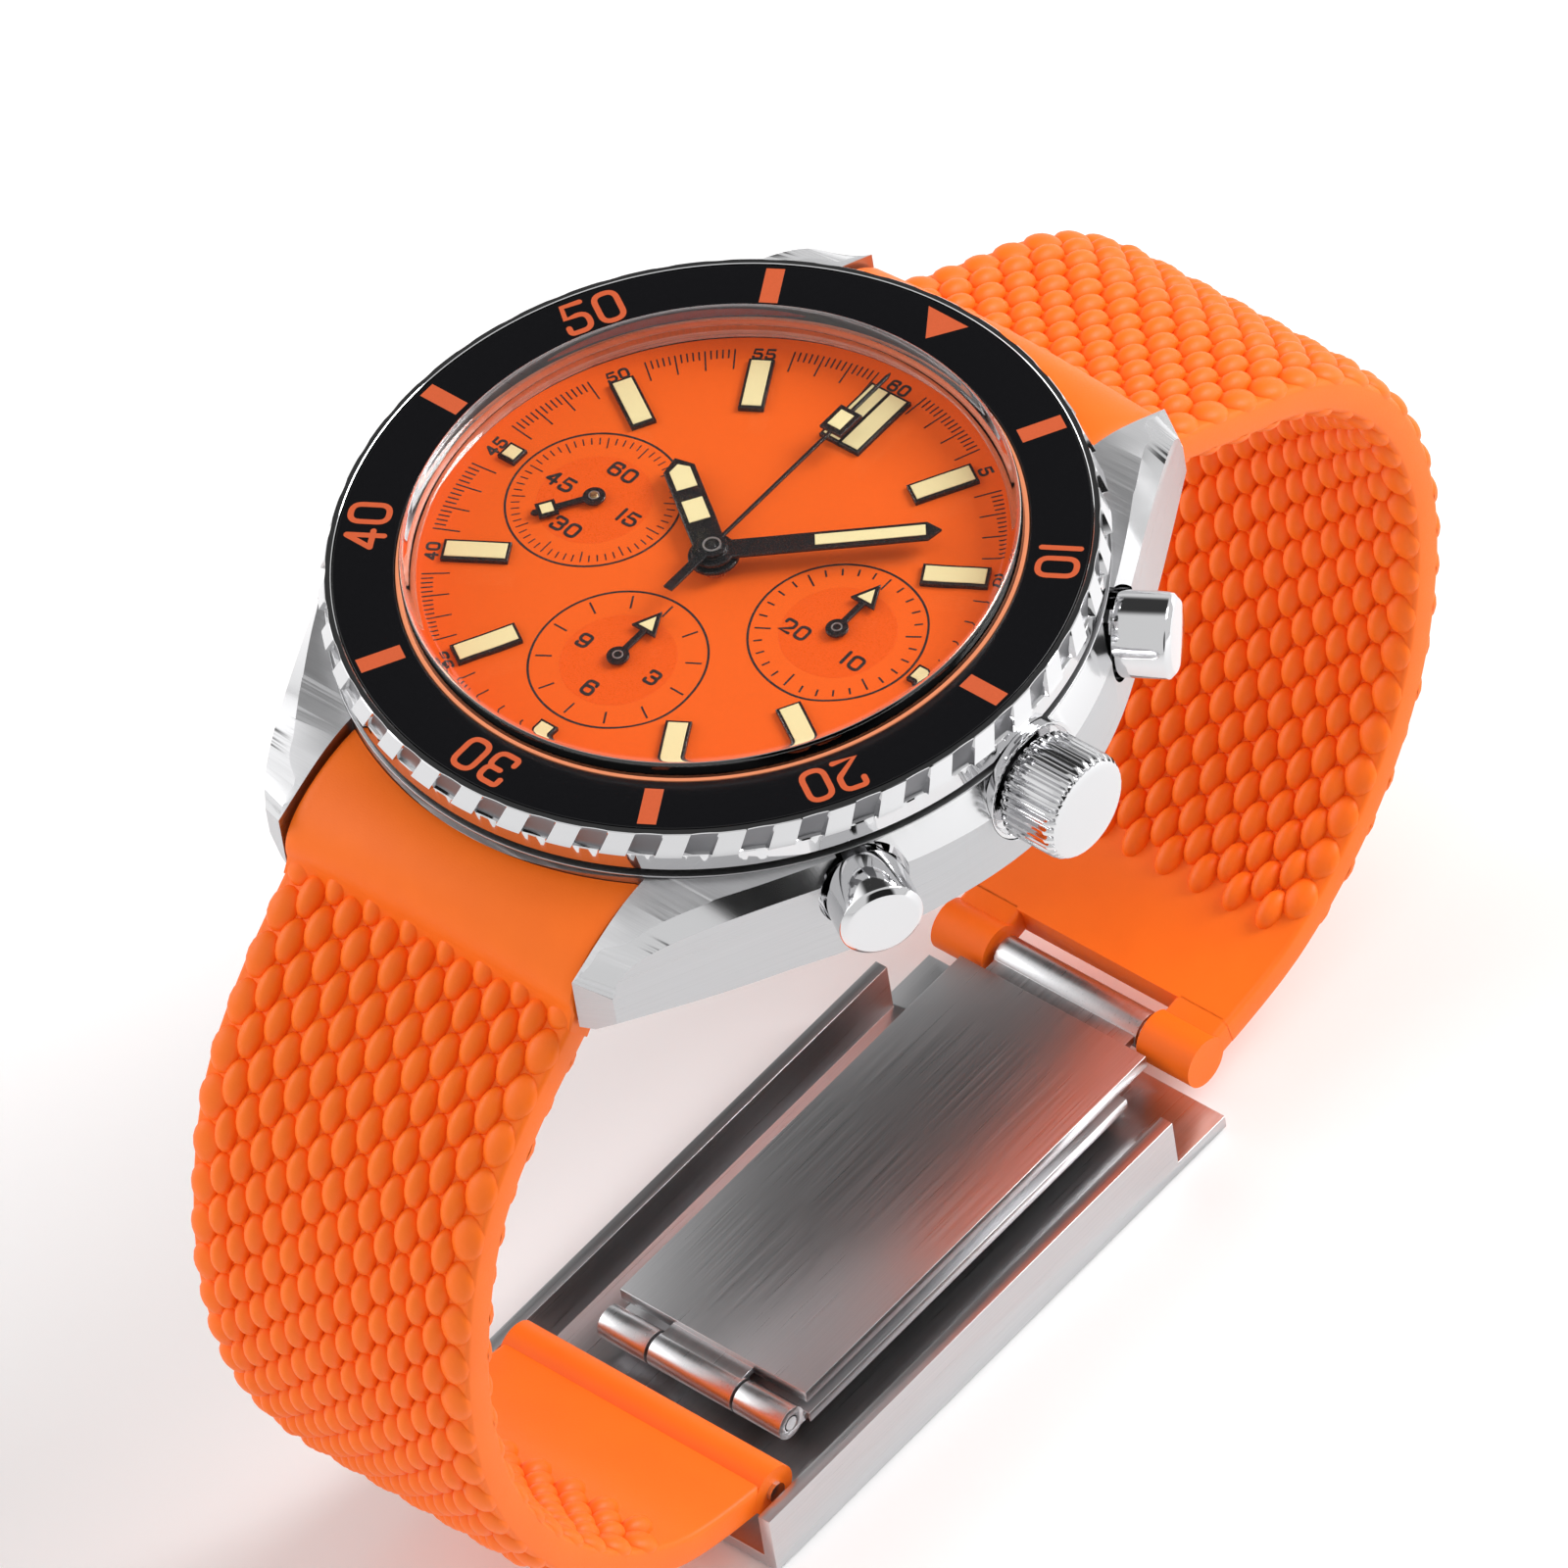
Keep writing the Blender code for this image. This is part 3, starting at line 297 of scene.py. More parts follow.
LINES_ALONG_FLANK = (0.05, 0.05, 17.0)
LINES_DIAGONAL = (0.2, 15.0, 0.6)
FLANK_STEEL = brushed_steel("flank_brushed_steel", LINES_ALONG_FLANK)
LUG_STEEL = brushed_steel("lug_brushed_steel", LINES_DIAGONAL, (0, 0, math.radians(38)), (0.66, 0.66, 0.67),
                          (0.4, 0.5))
BACK_STEEL = brushed_steel("back_brushed_steel", (0.3, 7.0, 0.3), (0, 0, math.radians(20)))
CLASP_STEEL = brushed_steel("clasp_brushed_steel", (14.0, 0.12, 14.0), color=(0.6, 0.6, 0.61))
# The brushing in the bezel's hollows is real. Their very dark grey is painted shade between the teeth.
NOTCH_STEEL_PAINTED_SHADE = brushed_steel("notch_brushed_steel_painted_shade", (0.6, 0.6, 9.0), color=(0.22, 0.22, 0.23),
                            rough=(0.34, 0.5))
POLISHED_STEEL = polished_steel("polished_case_steel")
BEVEL_STEEL = polished_steel("bevel_polished_steel", rough=(0.13, 0.18))
SAPPHIRE = sapphire()
INSERT_BLACK = lacquer("insert_black_ceramic", (0.006, 0.006, 0.007), 0.16, 0.0006, 6.0,
                       Specular_IOR_Level=0.35)
INSERT_ORANGE = lacquer("insert_orange_paint", (0.6, 0.105, 0.035), 0.34)
DIAL_ORANGE = lacquer("dial_orange_lacquer", (0.95, 0.13, 0.008), 0.5, 0.003, 16.0, Specular_IOR_Level=0.2)
GUILLOCHE_ORANGE = lacquer("counter_orange_lacquer", (0.92, 0.11, 0.005), 0.3, 0.001, Specular_IOR_Level=0.4)
PRINT_BLACK = lacquer("dial_print_black", (0.012, 0.01, 0.01), 0.5)
HAND_BLACK = lacquer("hand_black_lacquer", (0.01, 0.01, 0.011), 0.26, 0.0008)
LUME = lacquer("lume_cream", (0.94, 0.8, 0.42), 0.6, 0.004, 20.0)
STRAP_ORANGE = rubber("strap_orange_rubber", (1.0, 0.17, 0.008))
# The crystal gasket and rim seal are real parts. Their pale pinkish orange is painted glow, standing in for
# the dial's orange and the pale haze refracted in the crystal's edge.
GASKET_PAINTED_GLOW = rubber("crystal_gasket_painted_glow", (0.72, 0.24, 0.11))
PIN_STEEL = polished_steel("hand_pin_steel", (0.75, 0.75, 0.75), (0.3, 0.4))
SEAL_BLACK = rubber("seal_black_rubber", (0.02, 0.02, 0.02))
GILT = movement_metal("gilt_brass", (0.78, 0.58, 0.27))
RHODIUM = movement_metal("rhodium_plate", (0.62, 0.61, 0.6))
BLUED = movement_metal("blued_spring_steel", (0.12, 0.16, 0.3), (0.15, 0.25))


# Shapes as points in millimetres and faces

def merged(parts):
    """Several (points, faces) as one."""
    points, faces, base = [], [], 0
    for part_points, part_faces in parts:
        part_points = np.asarray(part_points, float).reshape(-1, 3)
        points.append(part_points)
        faces.extend([[index + base for index in face] for face in part_faces])
        base += len(part_points)
    return np.concatenate(points), faces


def grid_faces(rows, columns, close_rows=False, close_columns=False):
    index = np.arange(rows * columns).reshape(rows, columns)
    if close_rows:
        index = np.vstack([index, index[:1]])
    if close_columns:
        index = np.hstack([index, index[:, :1]])
    quads = np.stack([index[:-1, :-1], index[:-1, 1:], index[1:, 1:], index[1:, :-1]], axis=-1)
    return quads.reshape(-1, 4).tolist()


def soften(points, radius, closed=True, steps=4):
    """A polyline with its corners rounded. radius is one value, or one for each point."""
    count = len(points)
    radii = list(radius) if hasattr(radius, "__len__") else [radius] * count
    done = []
    for index, corner in enumerate(points):
        corner = np.array(corner, float)
        if radii[index] <= 0 or (not closed and index in (0, count - 1)):
            done.append(corner)
            continue
        before = np.array(points[index - 1], float) - corner
        after = np.array(points[(index + 1) % count], float) - corner
        long_before, long_after = np.linalg.norm(before), np.linalg.norm(after)
        before, after = before / long_before, after / long_after
        half_angle = math.acos(np.clip(before @ after, -1, 1)) / 2
        reach = min(radii[index] / max(math.tan(half_angle), 1e-3), 0.49 * long_before, 0.49 * long_after)
        for step in range(steps + 1):
            t = step / steps
            done.append((1 - t) ** 2 * (corner + before * reach) + 2 * t * (1 - t) * corner
                        + t * t * (corner + after * reach))
    return np.array(done)


def revolved(profile, steps=128, closed=True):
    """A profile (radius, z) turned about Z."""
    profile = np.asarray(profile, float)
    angles = np.arange(steps) * math.tau / steps
    radius, height = profile[:, 0], profile[:, 1]
    points = np.stack([np.outer(np.cos(angles), radius), np.outer(np.sin(angles), radius),
                       np.tile(height, (steps, 1))], axis=-1)
    return points.reshape(-1, 3), grid_faces(steps, len(profile), True, closed)


def inset(outline, distance):
    """A closed outline moved inwards by the distance, for outlines that run anticlockwise."""
    outline = np.asarray(outline, float)
    ahead = np.roll(outline, -1, axis=0) - outline
    ahead /= np.maximum(np.linalg.norm(ahead, axis=1, keepdims=True), 1e-9)
    behind = np.roll(ahead, 1, axis=0)
    normal = np.stack([-ahead[:, 1], ahead[:, 0]], axis=1)
    normal_behind = np.stack([-behind[:, 1], behind[:, 0]], axis=1)
    middle = normal + normal_behind
    scale = np.maximum((middle * normal).sum(axis=1, keepdims=True), 0.4)
    return outline + middle / scale * distance


def plate(outline, low, high, edge=0.04):
    """A flat plate with its upper edge chamfered."""
    outline = np.asarray(outline, float)
    count = len(outline)
    levels = [(outline, low), (outline, high - edge), (inset(outline, edge), high)]
    points = np.concatenate([np.column_stack([flat, np.full(count, z)]) for flat, z in levels])
    faces = grid_faces(3, count, False, True)
    faces.append([2 * count + index for index in range(count)])
    faces.append(list(range(count))[::-1])
    return points, faces


def moved(shape, origin=(0, 0, 0), turn=0.0):
    """A shape turned about Z by an angle and moved."""
    points, faces = shape
    cos, sin = math.cos(turn), math.sin(turn)
    turned = np.array([[cos, -sin, 0], [sin, cos, 0], [0, 0, 1]])
    return np.asarray(points) @ turned.T + np.array(origin, float), faces


def rectangle(x0, x1, y0, y1):
    return [(x0, y0), (x1, y0), (x1, y1), (x0, y1)]


def block(x0, x1, y0, y1, low, high, edge=0.03):
    return plate(rectangle(x0, x1, y0, y1), low, high, edge)


def disc(radius, low, high, edge=0.03, steps=48):
    angles = np.arange(steps) * math.tau / steps
    return plate(np.column_stack([radius * np.cos(angles), radius * np.sin(angles)]), low, high, edge)


def washer(inner, outer, low, high, steps=96):
    return revolved([(outer, low), (outer, high), (inner, high), (inner, low)], steps)


def ribbon(points, width, low, high, closed=False):
    """A line of the given width along a polyline (x, y), with round ends."""
    points = np.asarray(points, float)
    widths = np.full(len(points), width / 2)
    if not closed:
        start, end = points[0] - points[1], points[-1] - points[-2]
        start, end = start / np.linalg.norm(start), end / np.linalg.norm(end)
        turns = np.radians([80, 50, 25])
        heads = [points[0] + start * width / 2 * math.sin(a) for a in turns]
        tails = [points[-1] + end * width / 2 * math.sin(a) for a in turns[::-1]]
        caps = [width / 2 * math.cos(a) for a in turns]
        points = np.concatenate([heads, points, tails])
        widths = np.concatenate([caps, widths, caps[::-1]])
    if closed:
        ahead = np.roll(points, -1, axis=0) - np.roll(points, 1, axis=0)
    else:
        ahead = np.gradient(points, axis=0)
    ahead /= np.linalg.norm(ahead, axis=1, keepdims=True)
    side = np.column_stack([-ahead[:, 1], ahead[:, 0]]) * widths[:, None]
    loops = [(points + side, low), (points + side, high), (points - side, high), (points - side, low)]
    made = np.stack([np.column_stack([flat, np.full(len(flat), z)]) for flat, z in loops], axis=1)
    faces = grid_faces(len(points), 4, closed, True)
    if not closed:
        last = 4 * (len(points) - 1)
        faces += [[3, 2, 1, 0], [last, last + 1, last + 2, last + 3]]
    return made.reshape(-1, 3), faces


# Numerals: strokes in a box 0.6 wide and 1 high, as (points, corner radii, closed)

BEND = 0.28
STROKES = {
    "0": [([(0, 0), (0.6, 0), (0.6, 1), (0, 1)], BEND, True)],
    "1": [([(0.3, 0), (0.3, 1)], 0, False)],
    "2": [([(0, 0.74), (0, 1), (0.6, 1), (0.6, 0.52), (0, 0), (0.6, 0)], [0, BEND, BEND, 0.2, 0, 0], False)],
    "3": [([(0, 0.78), (0, 1), (0.6, 1), (0.6, 0.53), (0.22, 0.53)], [0, BEND, BEND, 0.2, 0], False),
          ([(0.22, 0.53), (0.6, 0.53), (0.6, 0), (0, 0), (0, 0.22)], [0, 0.2, BEND, BEND, 0], False)],
    "4": [([(0.44, 0), (0.44, 0.97)], 0, False), ([(0.42, 0.97), (0.02, 0.3)], 0, False),
          ([(0.02, 0.3), (0.6, 0.3)], 0, False)],
    "5": [([(0.56, 1), (0.06, 1), (0.02, 0.56), (0.6, 0.6), (0.6, 0), (0, 0), (0, 0.22)],
           [0, 0, 0, BEND, BEND, BEND, 0], False)],
    "6": [([(0.56, 0.8), (0.56, 1), (0, 1), (0, 0.3)], [0, BEND, BEND, 0], False),
          ([(0, 0), (0.6, 0), (0.6, 0.58), (0, 0.58)], 0.24, True)],
}
STROKES["9"] = [([(0.6 - x, 1 - y) for x, y in points], radii, closed)
                for points, radii, closed in STROKES["6"]]


def numeral(text, center, up, height, weight, low, high, wide=1.0, gap=0.28):
    """A number whose digits' tops point along the angle up."""
    shapes = []
    spans = [0.12 if digit == "1" else 0.6 * wide for digit in text]
    total = sum(spans) + gap * (len(text) - 1)
    pen = -total / 2
    for digit, span in zip(text, spans):
        for points, radii, closed in STROKES[digit]:
            lift = 0.002 * len(shapes)
            path = soften(points, radii, closed, 6)
            if digit == "1":
                path[:, 0] -= 0.24
            else:
                path[:, 0] *= wide
            path = (path + (pen, -0.5)) * height
            shapes.append(ribbon(path, weight, low, high + lift, closed))
        pen += span + gap
    return moved(merged(shapes), (*center, 0), up - math.pi / 2)


# Objects

def add_object(name, data):
    made = bpy.data.objects.new(name, data)
    bpy.context.scene.collection.objects.link(made)
    return made


def shade(mesh, sharp):
    """Smooth shading that keeps edges over that many degrees sharp."""
    mesh.shade_smooth()
    mesh.set_sharp_from_angle(angle=math.radians(sharp))


def new_piece(name, shape, materials, body, replaces=(), sharp=30, weld=True):
    """A piece of the watch that rides on a CAD body. materials is one, or a list used by face index."""
    points, faces = shape
    mesh = bpy.data.meshes.new(name)
    lifted = (np.asarray(points, float) + (0, 0, HEAD_LIFT)) * MM
    mesh.from_pydata(lifted.tolist(), [], faces)
    for item in materials if isinstance(materials, list) else [materials]:
        mesh.materials.append(item)
    if weld:
        tidy_mesh(mesh)
    shade(mesh, sharp)
    return settle(add_object(name, mesh), body, replaces)


def settle(made, body, replaces=()):
    if body:
        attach(made, body)
    if replaces:
        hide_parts(*replaces)
    return made


def tidy_mesh(mesh):
    """Merges points that meet, as on an axis, and turns every face outwards."""
    bm = bmesh.new()
    bm.from_mesh(mesh)
    bmesh.ops.remove_doubles(bm, verts=bm.verts, dist=1e-8)
    bmesh.ops.recalc_face_normals(bm, faces=bm.faces)
    bm.to_mesh(mesh)
    bm.free()


def clock(degrees):
    """The angle from +X of a direction that many degrees clockwise of 12 o'clock."""
    return math.radians(90 - degrees)


def polar(radius, angle):
    return radius * math.cos(angle), radius * math.sin(angle)


# Case

def tool_object(name, shape, made):
    points, faces = shape
    mesh = bpy.data.meshes.new(name)
    mesh.from_pydata((np.asarray(points, float) * MM).tolist(), [], faces)
    mesh.materials.append(made)
    tidy_mesh(mesh)
    return add_object(name, mesh)


def add_cut(body, tool):
    change = body.modifiers.new(tool.name, "BOOLEAN")
    change.operation = "DIFFERENCE"
    change.object = tool
    change.material_mode = "TRANSFER"


def finished(name, body, tools, node, sharp):
    """The body as its modifiers leave it, as a piece of the case that stands for a CAD node."""
    bpy.context.view_layer.update()
    mesh = bpy.data.meshes.new_from_object(body.evaluated_get(bpy.context.evaluated_depsgraph_get()))
    for item in [*tools, body]:
        bpy.data.objects.remove(item)
    mesh.transform(Matrix.Translation((0, 0, HEAD_LIFT * MM)))
    mesh.name = name
    shade(mesh, sharp)
    settle(add_object(name, mesh), "case", [node])


def side_prism(outline, low, high):
    """A flat outline (y, z) between two values of x."""
    points, faces = plate(outline, low, high, 0.0)
    return np.asarray(points)[:, [2, 0, 1]], faces


def rod(start, end, radius, sides=64):
    """A solid round rod."""
    start, end = Vector(start), Vector(end)
    turn = (end - start).to_track_quat("Z", "Y").to_matrix()
    points, faces = disc(radius, 0, (end - start).length, 0.0, sides)
    return np.asarray(points) @ np.array(turn).T + np.array(start), faces


def case_outline():
    """The case seen from above: round flanks, straight lug flanks and the wall between the lugs."""
    corner = polar(FLANK_R, FLANK_TANGENT)
    shoulder = (corner[0] - (SHOULDER_Y - corner[1]) * math.tan(FLANK_TANGENT), SHOULDER_Y)
    quarter = [polar(FLANK_R, a) for a in np.linspace(0, FLANK_TANGENT, 24)]
    quarter += [shoulder, (LUG_HALF_GAP, LUG_TIP_Y)]
    quarter += [polar(WALL_R, a) for a in np.linspace(math.acos(LUG_HALF_GAP / WALL_R), math.pi / 2, 24)]
    left = [(-x, y) for x, y in reversed(quarter[:-1])]
    top = quarter + left
    return top + [(x, -y) for x, y in reversed(top[1:-1])]


def flank_point(y):
    """The case's outline at a distance from the crown's axis, on the crown's side."""
    corner_y = FLANK_R * math.sin(FLANK_TANGENT)
    if y <= corner_y:
        return math.sqrt(FLANK_R ** 2 - y * y)
    return FLANK_R * math.cos(FLANK_TANGENT) - (y - corner_y) * math.tan(FLANK_TANGENT)


def smooth_curve(points, pieces):
    """Points of a Catmull-Rom curve through the given ones."""
    points = np.asarray(points, float)
    padded = np.concatenate([points[:1], points, points[-1:]])
    curve = []
    for index in range(1, len(padded) - 2):
        p0, p1, p2, p3 = padded[index - 1:index + 3]
        for step in range(pieces):
            t = step / pieces
            curve.append(0.5 * (2 * p1 + (p2 - p0) * t + (2 * p0 - 5 * p1 + 4 * p2 - p3) * t * t
                                + (3 * p1 - p0 - 3 * p2 + p3) * t ** 3))
    curve.append(points[-1])
    return np.array(curve)


def bevel_tool(outer, inner, side, lift):
    """What is cut away outside a ruled bevel. outer and inner are its edges along one side of the case, as
    matching points, and lift is 1 for an upper bevel and -1 for a lower one."""
    slope = (outer - inner) / np.linalg.norm(outer - inner, axis=1, keepdims=True)
    near = inner - slope * 0.6
    far = outer + slope * 1.5
    up = np.array([0, 0, 6.0 * lift])
    loop = np.stack([near, far, far + up, near + up], axis=1)
    loop[:, :, 0] *= side
    count = len(loop)
    faces = grid_faces(count, 4, False, True)
    faces += [[0, 1, 2, 3], [4 * count - 4 + k for k in (3, 2, 1, 0)]]
    return loop.reshape(-1, 3), faces


def mirrored_run(points, pieces=20):
    """A smooth run of points through a quarter's points and their mirror images across y = 0."""
    points = np.asarray(points, float)
    below = points[::-1][:-1] * (1, -1, 1)
    return smooth_curve(np.concatenate([below, points]), pieces)


def upper_bevel(side):
    """The polished bevel: steep and narrow by the crown, flat and wide on the lugs."""
    edge = ((0, -5.3), (5.2, -5.1), (9.7, -4.6), (13.7, -4.15), (17.6, -3.95), (20.4, -4.05), (22.0, -4.5),
            (22.9, -5.3), (SHOULDER_Y, -6.4))
    outer = [(flank_point(y), y, z) for y, z in edge] + [(12.3, 24.1, -7.6)]
    inner = [(20.35, 0, -3.05), (19.65, 5.4, -3.05), (18.15, 9.8, -3.05), (16.0, 13.9, -3.05),
             (13.5, 18.0, -3.2), (11.95, 20.6, -3.8), (11.0, 22.2, -4.5), (10.35, 23.4, -5.05),
             (9.99, 24.23, -5.42), (10.3, 25.0, -6.1)]
    return bevel_tool(mirrored_run(outer), mirrored_run(inner), side, 1)


def lower_bevel(side):
    outer = [(flank_point(y), y, FLANK_BOTTOM_Z + lift) for y, lift in
             ((0, 0), (9.7, 0), (15.0, 0.1), (19.0, 0.45), (23.0, 1.05), (25.0, 1.35))]
    inner = [(x - 0.9, y, z - 0.75) for x, y, z in outer]
    return bevel_tool(mirrored_run(outer), mirrored_run(inner), side, -1)


def pusher_point(side, distance):
    return (*polar(distance, side * PUSHER_ANGLE), BUTTON_Z)


def make_case():
    """The mid-case, cut from its outline as it is machined: lug slopes, bevels, channels and button seats."""
    body = tool_object("mid_case_body", plate(case_outline(), CASE_BOTTOM_Z, -2.6, 0.0), FLANK_STEEL)
    tools = []
    for side in (1, -1):
        over = [(side * y, z) for y, z in smooth_curve(LUG_TOP, 8)] + [(side * 26.0, 0.0), (0.0, 0.0)]
        tools.append((side_prism(over[::side], -30, 30), LUG_STEEL))
        under = [(13.0, CASE_BOTTOM_Z - 0.02), (25.6, -8.66), (25.6, -12.0), (13.0, -12.0)]
        tools.append((side_prism([(side * y, z) for y, z in under], -30, 30), BACK_STEEL))
        tools.append((upper_bevel(side), BEVEL_STEEL))
        tools.append((lower_bevel(side), POLISHED_STEEL))
        for reach, radius, sides in ((9.99, CHANNEL_R, 64), (11.6, BAR_HOLE_R, 32)):
            channel = rod((-reach, side * BAR_Y, BAR_Z), (reach, side * BAR_Y, BAR_Z), radius, sides)
            tools.append((channel, FLANK_STEEL))
        tools.append((rod(pusher_point(side, 19.9), pusher_point(side, 24.0), PUSHER_SEAT_R), POLISHED_STEEL))
        tools.append((rod(pusher_point(side, 13.6), pusher_point(side, 20.5), 1.4, 32), POLISHED_STEEL))
    tools.append((rod((0, 0, -14), (0, 0, 2), MOVEMENT_BORE_R, 128), BACK_STEEL))
    tools.append((rod((20.5, 0, BUTTON_Z), (24.0, 0, BUTTON_Z), CROWN_SEAT_R), POLISHED_STEEL))
    tools.append((rod((13.8, 0, BUTTON_Z), (21.0, 0, BUTTON_Z), 1.3, 32), POLISHED_STEEL))
    cutters = [tool_object(f"case_tool_{index}", *tool) for index, tool in enumerate(tools)]
    for tool in cutters:
        add_cut(body, tool)
    edge = body.modifiers.new("edges", "BEVEL")
    edge.width = 0.07 * MM
    edge.segments = 2
    edge.limit_method = "ANGLE"
    edge.angle_limit = math.radians(CASE_SHARP)
    edge.use_clamp_overlap = True
    finished("case_shell", body, cutters, "mid_case", CASE_SHARP)

    ring = soften([(DECK_R, DECK_Z), (DECK_R, -3.03), (MOVEMENT_BORE_R, -3.03), (MOVEMENT_BORE_R, DECK_Z)],
                  [0.03, 0, 0, 0])
    new_piece("case_ring", revolved(ring, 192), FLANK_STEEL, "case")
    neck = soften([(17.55, -0.85), (17.55, -4.0), (16.8, -4.0), (16.8, -0.85)], 0.05)
    new_piece("crystal_neck", revolved(neck, 160), POLISHED_STEEL, "case")
    rehaut = [(16.75, -2.92), (16.75, -4.2), (14.8, -4.2), (14.8, -4.45), (17.1, -4.45), (17.1, -2.92)]
    new_piece("dial_seat", revolved(rehaut, 96), BACK_STEEL, "case")


def make_case_back():
    profile = soften([(0, -11.9), (15.0, -11.9), (15.0, -9.2), (16.0, -9.2), (16.0, -10.2), (18.6, -10.2),
                      (18.6, -11.6), (17.2, -12.9), (15.4, -12.9), (15.2, -12.78), (0, -12.78)],
                     [0, 0, 0, 0, 0, 0.1, 0.25, 0.2, 0.04, 0.04, 0])
    back = tool_object("case_back_body", revolved(profile, 160, closed=False), BACK_STEEL)
    notches = [moved(block(15.9, 19.5, -1.3, 1.3, -14.0, -12.35, 0.0), turn=index * math.tau / 6)
               for index in range(6)]
    tool = tool_object("case_back_notches", merged(notches), POLISHED_STEEL)
    add_cut(back, tool)
    finished("case_back_cover", back, [tool], "case_back", 30)
    rings = [revolved(soften([(r + 0.12, -12.8), (r, -12.88), (r - 0.12, -12.8), (r, -12.7)], 0.03), 128)
             for r in (9.0, 12.0, 14.6)]
    new_piece("case_back_rings", merged(rings), POLISHED_STEEL, "case")


# Bezel

def bezel_rows():
    """(z, radius of a tooth, radius of a notch, angle of slant) down the bezel's outer side."""
    rows = [(0.0, 20.26, 20.22), (-0.05, 20.31, 20.235)]
    for z in np.linspace(-0.25, -1.2, 5):
        rows.append((z, 20.31 - 0.335 * (z + 0.05), NOTCH_R))
    rows += [(-1.31, 20.74, NOTCH_R), (-1.37, 20.73, NOTCH_R), (-1.42, 20.5, 20.4), (-1.5, 20.45, 20.45),
             (-2.5, 20.45, 20.45), (-2.6, 20.37, 20.37)]
    return rows


def make_bezel():
    """The turning ring: a thin bright rim, slanted polished teeth with brushed hollows whose dark grey is
    painted shade, and a step band.
    """
    shares = np.array([0.0, 0.022, 0.045, 0.1, 0.2, 0.3, 0.4, 0.5, 0.522, 0.545, 0.62, 0.75, 0.88, 0.978])
    in_notch = np.array([0, 0.5, 1, 1, 1, 1, 1, 1, 1, 0.5, 0, 0, 0, 0]) > 0.75
    hollow = np.where(in_notch, np.abs(shares - 0.272) / 0.25, 0.0) ** 2 * 0.05
    rows = bezel_rows()
    inner = [(17.7, -2.6), (17.7, -0.62), (19.93, -0.62), (19.93, 0.0), (19.97, 0.03)]
    width = len(rows) + len(inner)
    points = []
    first = math.radians(4.0)
    for tooth in range(TEETH):
        for share, notched, extra in zip(shares, in_notch, hollow):
            base = first + (tooth + share) * TOOTH_PITCH
            for z, tooth_r, notch_r in rows:
                radius = min(tooth_r, notch_r + extra) if notched else tooth_r
                angle = base + (TOOTH_SLANT * z if z > -1.45 else TOOTH_SLANT * -1.45)
                points.append((radius * math.cos(angle), radius * math.sin(angle), z))
            for radius, z in inner:
                points.append((radius * math.cos(base), radius * math.sin(base), z))
    faces = grid_faces(TEETH * len(shares), width, True, True)
    made = new_piece("bezel_grip_ring", (points, faces), [POLISHED_STEEL, NOTCH_STEEL_PAINTED_SHADE], "bezel",
                     ["bezel_ring"], sharp=24, weld=False)
    # Faces in the hollows between teeth get the steel with painted shade.
    notch_rows = range(1, 8)
    for index, face in enumerate(made.data.polygons):
        station, row = divmod(index, width)
        station %= len(shares)
        if in_notch[station] and station + 1 < len(shares) and in_notch[station + 1] and row in notch_rows:
            face.material_index = 1


def make_insert():
    """The glossy black insert with its bars, triangle and numerals."""
    profile = soften([(INSERT_OUTER_R, 0.0), (INSERT_OUTER_R, -0.55), (INSERT_INNER_R, -0.55),
                      (INSERT_INNER_R, 0.0)], [0.05, 0, 0, 0.12])
    new_piece("bezel_insert_ring", revolved(profile, 256), INSERT_BLACK, "bezel", ["bezel_insert"])
    low, high = -0.02, 0.008
    marks = [moved(block(MARK_INNER_R, MARK_OUTER_R, -0.5, 0.5, low, high, 0.006), turn=clock(6 * minute))
             for minute in (5, 15, 25, 35, 45, 55)]
    triangle = [(-1.35, 19.4), (0, 17.5), (1.35, 19.4)]
    marks.append(plate(triangle, low, high, 0.006))
    for minute in (10, 20, 30, 40, 50):
        angle = clock(6 * minute)
        marks.append(numeral(str(minute), polar(NUMERAL_R, angle), angle, 2.05, 0.33, low, high, 0.98, 0.3))
    new_piece("bezel_insert_numerals", merged(marks), INSERT_ORANGE, "bezel", weld=False)


# Crystal and dial

def make_crystal():
    top = smooth_curve([(0, 2.0), (4.0, 1.96), (8.0, 1.84), (12.0, 1.56), (14.4, 1.27), (16.0, 1.02)], 6)
    shoulder = smooth_curve([(16.0, 1.02), (16.15, 0.96), (16.25, 0.84), (CRYSTAL_R, 0.7)], 4)[1:]
    foot = [(CRYSTAL_R, -2.85), (15.8, -2.85), (15.8, -1.75)]
    under = (top - (0, CRYSTAL_THICK))[-4::-1]
    profile = np.concatenate([top, shoulder, foot, under])
    new_piece("crystal_dome", revolved(profile, 256, closed=False), SAPPHIRE, "case", ["crystal"],
              sharp=40)
    # The rim seal's colour is painted glow: it fills the band inside the bezel with the pinkish light
    # refracted through the crystal's edge.
    seal = soften([(16.56, -2.6), (16.56, -0.03), (16.33, -0.03), (16.33, -2.6)], 0.04)
    new_piece("crystal_rim_seal", revolved(seal, 192), GASKET_PAINTED_GLOW, "case")


def make_dial_base():
    profile = soften([(DIAL_R, -3.4), (DIAL_R, DIAL_TOP), (0, DIAL_TOP), (0, -3.4)], [0, 0.03, 0, 0])
    new_piece("dial_plate", revolved(profile, 160), DIAL_ORANGE, "case", ["dial"])
    rings = []
    pitch, depth, base = 0.085, 0.009, DIAL_TOP + 0.006
    for x, y in ((SUBDIAL_X, 0), (-SUBDIAL_X, 0), (0, HOUR_COUNTER_Y)):
        count = int(GUILLOCHE_R / pitch)
        ridges = [(pitch * (index + 0.5 * half), base + depth * half)
                  for index in range(1, count) for half in (0, 1)]
        profile = [(0, base)] + ridges + [(GUILLOCHE_R, DIAL_TOP - 0.01), (0, DIAL_TOP - 0.01)]
        rings.append(moved(revolved(profile, 96), (x, y, 0)))
    new_piece("counter_guilloche", merged(rings), GUILLOCHE_ORANGE, "case", sharp=60)


